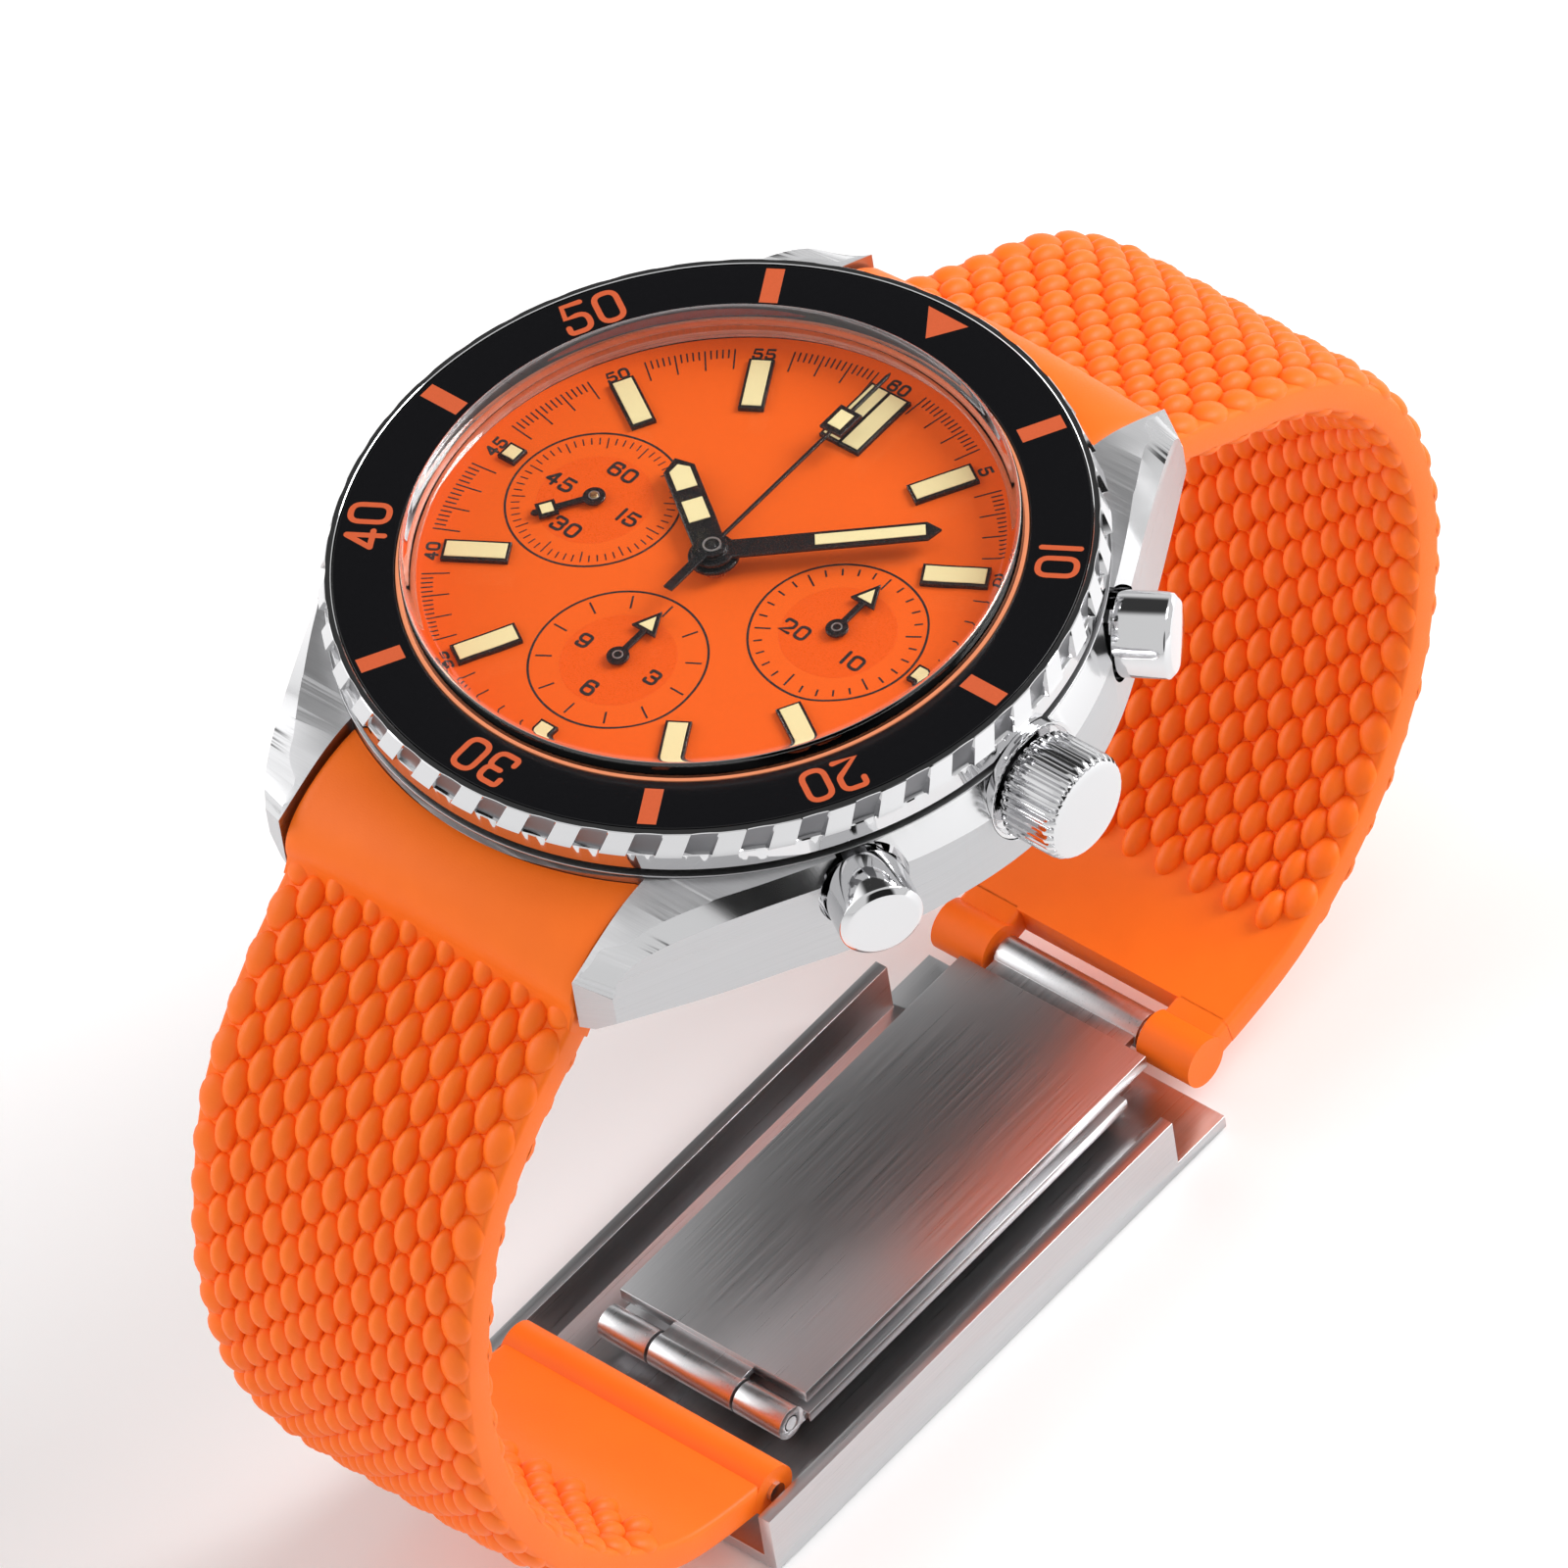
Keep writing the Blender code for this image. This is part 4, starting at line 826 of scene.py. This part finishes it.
def ticks(center, count, outer, lengths, half):
    """Radial ticks round a centre: lengths is a function of the tick's number, and 0 leaves one out."""
    shapes = []
    for index in range(count):
        length = lengths(index)
        if length:
            tick = block(outer - length, outer, -half, half, DIAL_TOP, DIAL_TOP + PRINT_HIGH, 0.002)
            shapes.append(moved(tick, (*center, 0), clock(360 * index / count)))
    return shapes


def make_dial_print():
    """Seconds track, counters and their numerals."""
    low, high = DIAL_TOP, DIAL_TOP + PRINT_HIGH
    near_numeral = 4  # fifths of a second kept clear on both sides of a numeral

    def track(index):
        distance = min(index % 25, 25 - index % 25)
        if distance <= near_numeral:
            return 0
        return 1.45 if index % 5 == 0 else 0.62

    shapes = ticks((0, 0), 300, TRACK_R, track, 0.042)
    for minute in range(5, 65, 5):
        angle = clock(6 * minute)
        place = polar(TRACK_NUMERAL_R, angle)
        shapes.append(numeral(str(minute), place, angle, 0.62, 0.15, low, high, 1.15, 0.4))

    def counter(center, count, lengths, numbers, radius, half):
        shapes.append(moved(washer(SUBDIAL_RING_R - 0.06, SUBDIAL_RING_R + 0.06, low, high), (*center, 0)))
        shapes.extend(ticks(center, count, SUBDIAL_RING_R - 0.3, lengths, half))
        for text, degrees in numbers:
            x, y = polar(radius, clock(degrees))
            place = (center[0] + x, center[1] + y)
            shapes.append(numeral(text, place, math.pi / 2, 0.82, 0.17, low, high + 0.02, 1.2, 0.4))

    counter((-SUBDIAL_X, 0), 60, lambda i: 0.85 if i % 15 == 0 else (0.7 if i % 5 == 0 else 0.45),
            (("60", 0), ("15", 90), ("30", 180), ("45", 270)), 2.3, 0.035)
    counter((SUBDIAL_X, 0), 30, lambda i: 0.85 if i % 5 == 0 else 0.45, (("10", 120), ("20", 240)), 2.2, 0.05)
    counter((0, HOUR_COUNTER_Y), 12, lambda i: 0.85, (("3", 90), ("6", 180), ("9", 270)), 2.3, 0.05)
    new_piece("dial_print", merged(shapes), PRINT_BLACK, "case", weld=False)


def framed_block(x0, x1, half):
    """A raised black frame with its lume, lying along +X."""
    low, top = DIAL_TOP - 0.02, DIAL_TOP + 0.28
    body = block(x0, x1, -half, half, low, top, 0.05)
    rim = MARKER_RIM
    glow = block(x0 + rim, x1 - rim, -half + rim, half - rim, top - 0.05, top + 0.035, 0.03)
    return body, glow


def make_markers():
    bodies, glows = [], []
    for hour in range(1, 13):
        near, half = (13.2, 0.55) if hour in (3, 6, 9) else (10.0 if hour == 12 else 10.8, 0.68)
        for aside in (-0.62, 0.62) if hour == 12 else (0.0,):
            for (points, faces), group in zip(framed_block(near, MARKER_OUTER_R, half), (bodies, glows)):
                group.append(moved((points + (0, aside, 0), faces), turn=clock(30 * hour)))
    new_piece("hour_marker_frames", merged(bodies), HAND_BLACK, "case")
    new_piece("hour_marker_lume", merged(glows), LUME, "case")


# Hands

def blade_outline(length, half, point, hub, tail=0.0, tail_half=0.2):
    """A hand along +X: hub circle, straight blade with a pointed tip, and a tail if it has one."""
    leave = math.asin(half / hub)
    outline = [(length - point, -half), (length, 0), (length - point, half)]
    if tail:
        back = math.asin(tail_half / hub)
        outline += [polar(hub, a) for a in np.linspace(leave, math.pi - back, 16)]
        outline += [(-tail, tail_half), (-tail, -tail_half)]
        outline += [polar(hub, a) for a in np.linspace(math.pi + back, math.tau - leave, 16)]
    else:
        outline += [polar(hub, a) for a in np.linspace(leave, math.tau - leave, 40)]
    return outline


def make_hand(name, node, body, place, degrees, shapes, glows, pins=()):
    """Black parts, lume and bright pin of one hand, drawn along +X."""
    turn = clock(degrees)
    new_piece(name, moved(merged(shapes), (*place, 0), turn), HAND_BLACK, body, [node])
    new_piece(name + "_lume", moved(merged(glows), (*place, 0), turn), LUME, body)
    if pins:
        new_piece(name + "_pin", moved(merged(pins), (*place, 0)), PIN_STEEL, body)


def make_hands():
    hour = [plate(blade_outline(7.3, 0.85, 0.8, 1.35), -2.35, -2.15, 0.05), disc(1.0, -2.3, -2.05)]
    hour_lume = [block(2.55, 4.1, -0.56, 0.56, -2.2, -2.11, 0.02),
                 plate([(4.95, -0.56), (6.35, -0.56), (6.75, 0), (6.35, 0.56), (4.95, 0.56)], -2.2, -2.11,
                       0.02)]
    make_hand("hour_hand_blade", "hour_hand", "hour", (0, 0), 304, hour, hour_lume)
    minute = [plate(blade_outline(11.8, 0.6, 0.7, 1.15), -2.0, -1.8, 0.05), disc(0.8, -1.95, -1.72)]
    minute_lume = [block(5.3, 11.0, -0.36, 0.36, -1.85, -1.76, 0.02)]
    make_hand("minute_hand_blade", "minute_hand", "center", (0, 0), 49, minute, minute_lume)
    seconds = [plate(blade_outline(14.4, 0.1, 0.3, 0.8, 3.6, 0.27), -1.6, -1.45, 0.03),
               block(9.55, 11.3, -0.7, 0.7, -1.6, -1.4, 0.04)]
    seconds_pins = [washer(0.4, 0.5, -1.5, -1.4, 48), disc(0.16, -1.5, -1.36, 0.03, 24)]
    seconds_lume = [block(9.85, 11.0, -0.42, 0.42, -1.42, -1.36, 0.02)]
    make_hand("chronograph_seconds_blade", "chronograph_seconds_hand", "chronograph", (0, 0), 0, seconds,
              seconds_lume, seconds_pins)
    small_pins = [washer(0.22, 0.29, -2.7, -2.62, 32)]
    for name, place in (("minute_counter", (SUBDIAL_X, 0)), ("hour_counter", (0, HOUR_COUNTER_Y))):
        arrow = [plate(blade_outline(2.3, 0.17, 0.1, 0.6), -2.8, -2.65, 0.03),
                 plate([(2.05, -0.78), (3.55, 0), (2.05, 0.78)], -2.8, -2.63, 0.03)]
        glow = [plate([(2.22, -0.45), (3.1, 0), (2.22, 0.45)], -2.66, -2.6, 0.015)]
        make_hand(f"{name}_pointer", f"{name}_hand", name, place, 0, arrow, glow, small_pins)
    pointer = [plate(blade_outline(3.4, 0.17, 0.15, 0.6), -2.8, -2.65, 0.03),
               block(2.0, 3.05, -0.52, 0.52, -2.8, -2.63, 0.03)]
    glow = [block(2.2, 2.85, -0.32, 0.32, -2.66, -2.6, 0.015)]
    make_hand("small_seconds_pointer", "small_seconds_hand", "small_seconds", (-SUBDIAL_X, 0), 215, pointer,
              glow, small_pins)


# Crown and pushers

def along_x(shape, turn=0.0):
    """A shape built about Z, laid along the crown's axis and then turned about the case's centre."""
    points, faces = shape
    points = np.asarray(points)
    laid = np.column_stack([points[:, 2], points[:, 1], -points[:, 0] + BUTTON_Z])
    return moved((laid, faces), turn=turn)


def make_crown():
    rows = [(20.95, 1.9, 0.0), (20.95, 2.62, 0.0), (21.1, 2.72, 0.05), (21.3, 2.98, 1.0), (21.5, 3.0, 1.0)]
    rows += [(x, 3.0, 1.0) for x in np.linspace(22.0, 24.0, 5)]
    rows += [(24.2, 2.99, 1.0), (24.38, 2.9, 0.72), (24.52, 2.8, 0.35), (24.6, 2.74, 0.0), (24.68, 2.62, 0.0),
             (24.73, 2.2, 0.0), (24.77, 1.2, 0.0), (24.78, 0.0, 0.0), (24.3, 0.0, 0.0), (20.95, 0.0, 0.0)]
    steps = CROWN_FLUTES * 12
    angles = np.arange(steps) * math.tau / steps
    wave = np.cos(angles * CROWN_FLUTES)
    flute = np.clip(0.5 - 0.9 * wave, 0, 1) ** 1.3 * 0.36
    points = []
    for angle, dip in zip(angles, flute):
        for x, radius, share in rows:
            reach = radius - dip * share
            points.append((reach * math.cos(angle), reach * math.sin(angle), x))
    shape = (points, grid_faces(steps, len(rows), True, False))
    new_piece("crown_knob", along_x(shape), POLISHED_STEEL, "crown", ["crown"], sharp=50)
    seat = soften([(3.33, 21.0), (3.33, 20.45), (1.2, 20.45), (1.2, 20.5), (3.0, 20.52), (3.12, 20.98)], 0.04)
    new_piece("crown_seat_ring", along_x(revolved(seat, 96)), POLISHED_STEEL, "case")


def make_pushers():
    for side, label in ((1, "upper"), (-1, "lower")):
        profile = soften([(0, 24.13), (1.95, 24.06), (2.3, 23.78), (2.3, 20.95), (1.9, 20.95), (1.9, 22.9),
                          (0.8, 22.9), (0.8, 15.6), (0, 15.6)], [0, 0.25, 0.2, 0.05, 0, 0, 0, 0, 0])
        shape = along_x(revolved(profile, 96, closed=False), side * PUSHER_ANGLE)
        body = f"{label}_pusher"
        new_piece(f"{label}_pusher_cap", shape, POLISHED_STEEL, body, [body])


# Strap

class Route:
    """The middle line of one strap half, read by distance from the lug bar."""

    def __init__(self, points):
        self.side = 1 if points[0][0] > 0 else -1
        self.fine = smooth_curve([(self.side * y, z) for y, z in points], 40)
        steps = np.linalg.norm(np.diff(self.fine, axis=0), axis=1)
        self.length = np.concatenate([[0], np.cumsum(steps)])
        self.total = self.length[-1]

    def at(self, distance):
        distance = np.asarray(distance, float)
        return np.stack([np.interp(distance, self.length, self.fine[:, k]) for k in (0, 1)], axis=-1)

    def along(self, distance):
        step = 0.25
        run = self.at(np.minimum(distance + step, self.total)) - self.at(np.maximum(distance - step, 0))
        return run / np.linalg.norm(run, axis=-1, keepdims=True)

    def place(self, x, distance, offset):
        """World-side points for x across, a distance along and an offset outwards."""
        middle, along = self.at(distance), self.along(distance)
        normal = np.stack([-along[..., 1], along[..., 0]], axis=-1)
        spot = middle + normal * np.asarray(offset)[..., None]
        across = np.broadcast_to(x, spot.shape[:-1])
        return np.stack([across, spot[..., 0] * self.side, spot[..., 1]], axis=-1)

    def half_width(self, distance):
        share = np.clip(distance / self.total, 0, 1)
        return STRAP_HALF_LUG + (STRAP_HALF_CLASP - STRAP_HALF_LUG) * share


def rounded_section(half_width, half_height, radius, steps=4):
    """Corner points (x, offset) of a rounded rectangle."""
    corners = []
    for cx, cy, start in ((1, 1, 0), (-1, 1, 90), (-1, -1, 180), (1, -1, 270)):
        for angle in np.radians(np.linspace(start, start + 90, steps)):
            corners.append((cx * (half_width - radius) + radius * math.cos(angle),
                            cy * (half_height - radius) + radius * math.sin(angle)))
    return np.array(corners)


def slab(route, start, end, x_range=None, half_height=CORE_HALF, step=0.5):
    """The strap's solid core between two distances, or one prong of it between two values of x."""
    distances = np.linspace(start, end, max(int((end - start) / step), 2) + 1)
    sections = []
    for distance in distances:
        if x_range:
            half, middle = (x_range[1] - x_range[0]) / 2, sum(x_range) / 2
        else:
            half, middle = float(route.half_width(distance)), 0.0
        section = rounded_section(half, half_height, 0.3)
        sections.append(route.place(section[:, 0] + middle, np.full(len(section), distance), section[:, 1]))
    count = len(sections[0])
    faces = grid_faces(len(sections), count, False, True)
    faces += [list(range(count))[::-1], [count * (len(sections) - 1) + k for k in range(count)]]
    return np.concatenate(sections), faces


def dome_bead(rings=6, segments=16):
    """The upper half of a bead of unit half-length, half-width and height."""
    points = [(0.0, 0.0, 1.0)]
    for ring in range(1, rings + 1):
        polar_angle = math.radians(100) * ring / rings
        for k in range(segments):
            angle = math.tau * k / segments
            reach = math.sin(polar_angle)
            points.append((reach * math.cos(angle), reach * math.sin(angle), math.cos(polar_angle)))
    faces = [[0, 1 + k, 1 + (k + 1) % segments] for k in range(segments)]
    for ring in range(rings - 1):
        base = 1 + ring * segments
        for k in range(segments):
            following = (k + 1) % segments
            faces.append([base + k, base + segments + k, base + segments + following, base + following])
    return np.array(points), faces


def bead_rows(last):
    """(distance, x share, edge) of every bead on one face."""
    beads = []
    row = 0
    while (distance := BEAD_START + row * BEAD_PITCH / 2) <= last:
        outermost = 3.0 if row % 2 else 3.5
        beads += [(distance, k / 3.5, abs(k) == 3.5) for k in np.arange(-outermost, outermost + 0.5)]
        row += 1
    return beads


def bead_field(route, last, face):
    """All beads of one face of a strap half. face is 1 outside and -1 towards the wrist."""
    unit, unit_faces = dome_bead()
    points, faces = [], []
    turn = face * route.side
    for distance, share, edge in bead_rows(last):
        half = float(route.half_width(distance))
        wide, long, high = EDGE_BEAD if edge else BEAD
        wobble = 1 + 0.03 * RNG.standard_normal()
        x = share * (half - EDGE_INSET) + unit[:, 1] * wide * wobble
        x = np.clip(x, -half - 0.02, half + 0.02)
        run = distance + unit[:, 0] * long
        offset = (CORE_HALF - BEAD_SUNK + unit[:, 2] * high) * face
        base = len(points) * len(unit)
        points.append(route.place(x, np.clip(run, 0, route.total), offset))
        faces.extend([[index + base for index in corner[::turn]] for corner in unit_faces])
    return np.concatenate(points), faces


def bezier(p0, p1, p2, p3, count):
    t = np.linspace(0, 1, count)[:, None]
    p0, p1, p2, p3 = (np.array(p, float) for p in (p0, p1, p2, p3))
    return (1 - t) ** 3 * p0 + 3 * (1 - t) ** 2 * t * p1 + 3 * (1 - t) * t * t * p2 + t ** 3 * p3


def end_profile(route, x, shrink):
    """Side view (y, z) of the smooth end piece at x, from the case wall over the top and back underneath."""
    wall = math.sqrt(WALL_R ** 2 - x * x) + 0.05
    finish = BEAD_START + 0.1
    along = route.along(np.array(finish))
    normal = np.array([-along[1], along[0]])
    middle = route.at(np.array(finish))
    top = (wall, -3.65 - shrink)
    lip = middle + normal * (CORE_HALF + 0.55 - shrink)
    over = bezier(top, (wall + 2.2, top[1]), (BAR_Y + 2.6, -5.15 - shrink), lip, 24)
    toe = middle + along * 0.9 + np.outer((CORE_HALF - 0.1, -CORE_HALF), normal)
    below = bezier(middle - normal * (CORE_HALF + 0.15 - shrink), middle - normal * 1.6 - along * 1.6,
                   (BAR_Y + 1.2, BAR_Z - 2.75 + shrink), (BAR_Y - 0.6, BAR_Z - 2.5 + shrink), 10)
    rear = []
    for z in np.linspace(BAR_Z - 2.3 + shrink, top[1] - 0.12, 16):
        bulge = BARREL_R ** 2 - (z - BAR_Z) ** 2
        barrel = BAR_Y - math.sqrt(bulge) if bulge > 0 else wall
        rear.append((min(wall, barrel), z))
    return np.concatenate([over, toe, below, rear])


def end_piece(route):
    """The smooth rubber end that fills the space between the lugs and fits the case's round wall."""
    edge = STRAP_HALF_LUG
    inside = np.linspace(-edge + 0.3, edge - 0.3, 41)
    columns = [(-edge, 0.3), (-edge + 0.09, 0.09), *[(x, 0.0) for x in inside], (edge - 0.09, 0.09),
               (edge, 0.3)]
    sections = []
    for x, shrink in columns:
        y, z = end_profile(route, x, shrink).T
        sections.append(np.column_stack([np.full(len(y), x), y * route.side, z]))
    count = len(sections[0])
    faces = grid_faces(len(sections), count, False, True)
    faces += [list(range(count)), [count * (len(sections) - 1) + k for k in range(count)]]
    return np.concatenate(sections), faces


def clasp_barrel(route, x_ranges, radius=1.5):
    """Rounded end of the strap about its clasp pin."""
    y, z = route.fine[-1]
    return [rod((low, y * route.side, z), (high, y * route.side, z), radius, 40) for low, high in x_ranges]


def make_strap(label):
    route = Route(STRAP_ROUTES[label])
    body = f"strap_{label}"
    half = STRAP_HALF_CLASP
    if label == "12":
        split = route.total - 2.2
        core = [slab(route, BEAD_START, split)]
        for low, high in ((-half, -5.45), (5.45, half)):
            core.append(slab(route, split - 0.3, route.total, (low, high)))
        ranges = ((-half - 0.03, -5.4), (5.4, half + 0.03))
    else:
        core = [slab(route, BEAD_START, route.total)]
        ranges = ((-half - 0.03, half + 0.03),)
    core += clasp_barrel(route, ranges)
    bead_end = route.total - SMOOTH_END
    shapes = (("core", merged(core), [body], 40, True), ("end_piece", end_piece(route), (), 35, True),
              ("outer_beads", bead_field(route, bead_end, 1), (), 70, False),
              ("inner_beads", bead_field(route, bead_end, -1), (), 70, False))
    for suffix, shape, replaced, sharp, weld in shapes:
        piece = new_piece(f"{body}_{suffix}", shape, STRAP_ORANGE, None, replaced, sharp, weld)
        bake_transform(piece)


# CAD nodes that keep their shape, with their edges softened, or only get a finish

def refine(node, name):
    """A copy of a clasp node with its sharp edges rounded, which stands for the node."""
    mesh = frame["nodes"][node].data.copy()
    bm = bmesh.new()
    bm.from_mesh(mesh)
    bmesh.ops.remove_doubles(bm, verts=bm.verts, dist=1e-7)
    bmesh.ops.dissolve_limit(bm, angle_limit=math.radians(1.0), verts=bm.verts, edges=bm.edges)
    bmesh.ops.recalc_face_normals(bm, faces=bm.faces)
    edges = [e for e in bm.edges if len(e.link_faces) == 2 and e.calc_face_angle(0) > math.radians(32)]
    bmesh.ops.bevel(bm, geom=edges, offset=CLASP_EDGE * MM, offset_type="OFFSET", segments=2, affect="EDGES",
                    profile=0.5, clamp_overlap=True)
    bm.to_mesh(mesh)
    bm.free()
    mesh.materials.clear()
    mesh.materials.append(CLASP_STEEL)
    shade(mesh, 32)
    settle(add_object(name, mesh), frame["nodes"][node]["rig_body"], [node])


def finish_nodes():
    """Every CAD node that shows as it is gets a material: gilt, unless it is listed."""
    finishes = {
        FLANK_STEEL: ("rotor_bearing", "crown_tube", "upper_pusher_tube", "lower_pusher_tube",
                      "bezel_click_spring"),
        POLISHED_STEEL: ("spring_bar_12", "spring_bar_6", "strap_12_end_bar", "strap_6_end_bar",
                         "left_hinge_pin", "right_hinge_pin", "winding_stem", "upper_pusher_spring",
                         "lower_pusher_spring", "pallet_fork", "chronograph_arbor"),
        # The crystal gasket gets the painted pinkish glow colour.
        GASKET_PAINTED_GLOW: ("crystal_gasket",),
        SEAL_BLACK: ("case_back_gasket", "crown_gasket"),
        RHODIUM: ("train_bridge", "balance_cock", "rotor", "movement_ring"),
        BLUED: ("hairspring",),
    }
    chosen = {node: made for made, nodes in finishes.items() for node in nodes}
    for name, node in frame["nodes"].items():
        node.data.materials.clear()
        node.data.materials.append(chosen.get(name, GILT))


def make_clasp():
    for node, name in (("clasp_cover", "clasp_cover_plate"), ("clasp_inner_blade", "clasp_inner_leaf"),
                       ("clasp_outer_blade", "clasp_outer_leaf")):
        refine(node, name)


# Camera, floor and light

def make_camera():
    data = bpy.data.cameras.new("camera")
    data.lens = CAMERA_LENS
    data.sensor_width = SENSOR
    data.clip_start = 0.05
    data.clip_end = 50
    camera = add_object("camera", data)
    right, back = Vector(CAMERA_RIGHT), -Vector(CAMERA_FORWARD)
    turn = Matrix((right, back.cross(right), back)).transposed().to_4x4()
    place = (Vector(CAMERA_PLACE) + Vector((0, 0, HEAD_LIFT))) * MM
    camera.matrix_world = Matrix.Translation(place) @ turn
    bpy.context.scene.camera = camera


def make_floor():
    half, low = 6.0, -0.0002
    mesh = bpy.data.meshes.new("studio_floor")
    mesh.from_pydata([(x, y, low) for x, y in rectangle(-half, half, -half, half)], [], [(0, 1, 2, 3)])
    mesh.materials.append(new_material("floor_pale", (0.96, 0.96, 0.96), 0.9, Specular_IOR_Level=0.1))
    add_object("studio_floor", mesh)


def add_softbox(name, place, size, power):
    data = bpy.data.lights.new(name, "AREA")
    data.shape = "RECTANGLE"
    data.size, data.size_y = size
    data.energy = power
    light = add_object(name, data)
    light.location = place
    light.rotation_euler = (Vector(LIGHT_TARGET) - Vector(place)).to_track_quat("-Z", "Y").to_euler()


def add_zone(world, base, direction, inner, outer, value):
    """Mixes a round zone of one brightness into the sky: full within inner degrees, none beyond outer."""
    place = add_node(world, "ShaderNodeTexCoord")
    facing = add_node(world, "ShaderNodeVectorMath")
    facing.operation = "DOT_PRODUCT"
    facing.inputs[1].default_value = Vector(direction).normalized()
    share = add_node(world, "ShaderNodeMapRange", From_Min=math.cos(math.radians(outer)),
                     From_Max=math.cos(math.radians(inner)))
    share.interpolation_type = "SMOOTHSTEP"
    mix = add_node(world, "ShaderNodeMix", B=value)
    wire(world, place.outputs["Generated"], facing.inputs[0])
    wire(world, facing.outputs["Value"], share.inputs["Value"])
    wire(world, share.outputs["Result"], mix.inputs["Factor"])
    wire(world, base, mix.inputs["A"])
    return mix.outputs["Result"]


def make_light():
    for softbox in SOFTBOXES:
        add_softbox(*softbox)
    world = bpy.data.worlds.new("studio")
    bpy.context.scene.world = world
    world.use_nodes = True
    sky = add_node(world, "ShaderNodeValue")
    sky.outputs[0].default_value = SKY
    value = sky.outputs[0]
    for zone in SKY_ZONES:
        value = add_zone(world, value, *zone)
    wire(world, value, world.node_tree.nodes["Background"].inputs["Color"])
    bpy.context.scene.view_settings.view_transform = "Standard"


make_camera()
finish_nodes()
make_case()
make_case_back()
make_bezel()
make_insert()
make_crystal()
make_dial_base()
make_dial_print()
make_markers()
make_hands()
make_crown()
make_pushers()
for strap_label in STRAP_ROUTES:
    make_strap(strap_label)
make_clasp()
make_floor()
make_light()
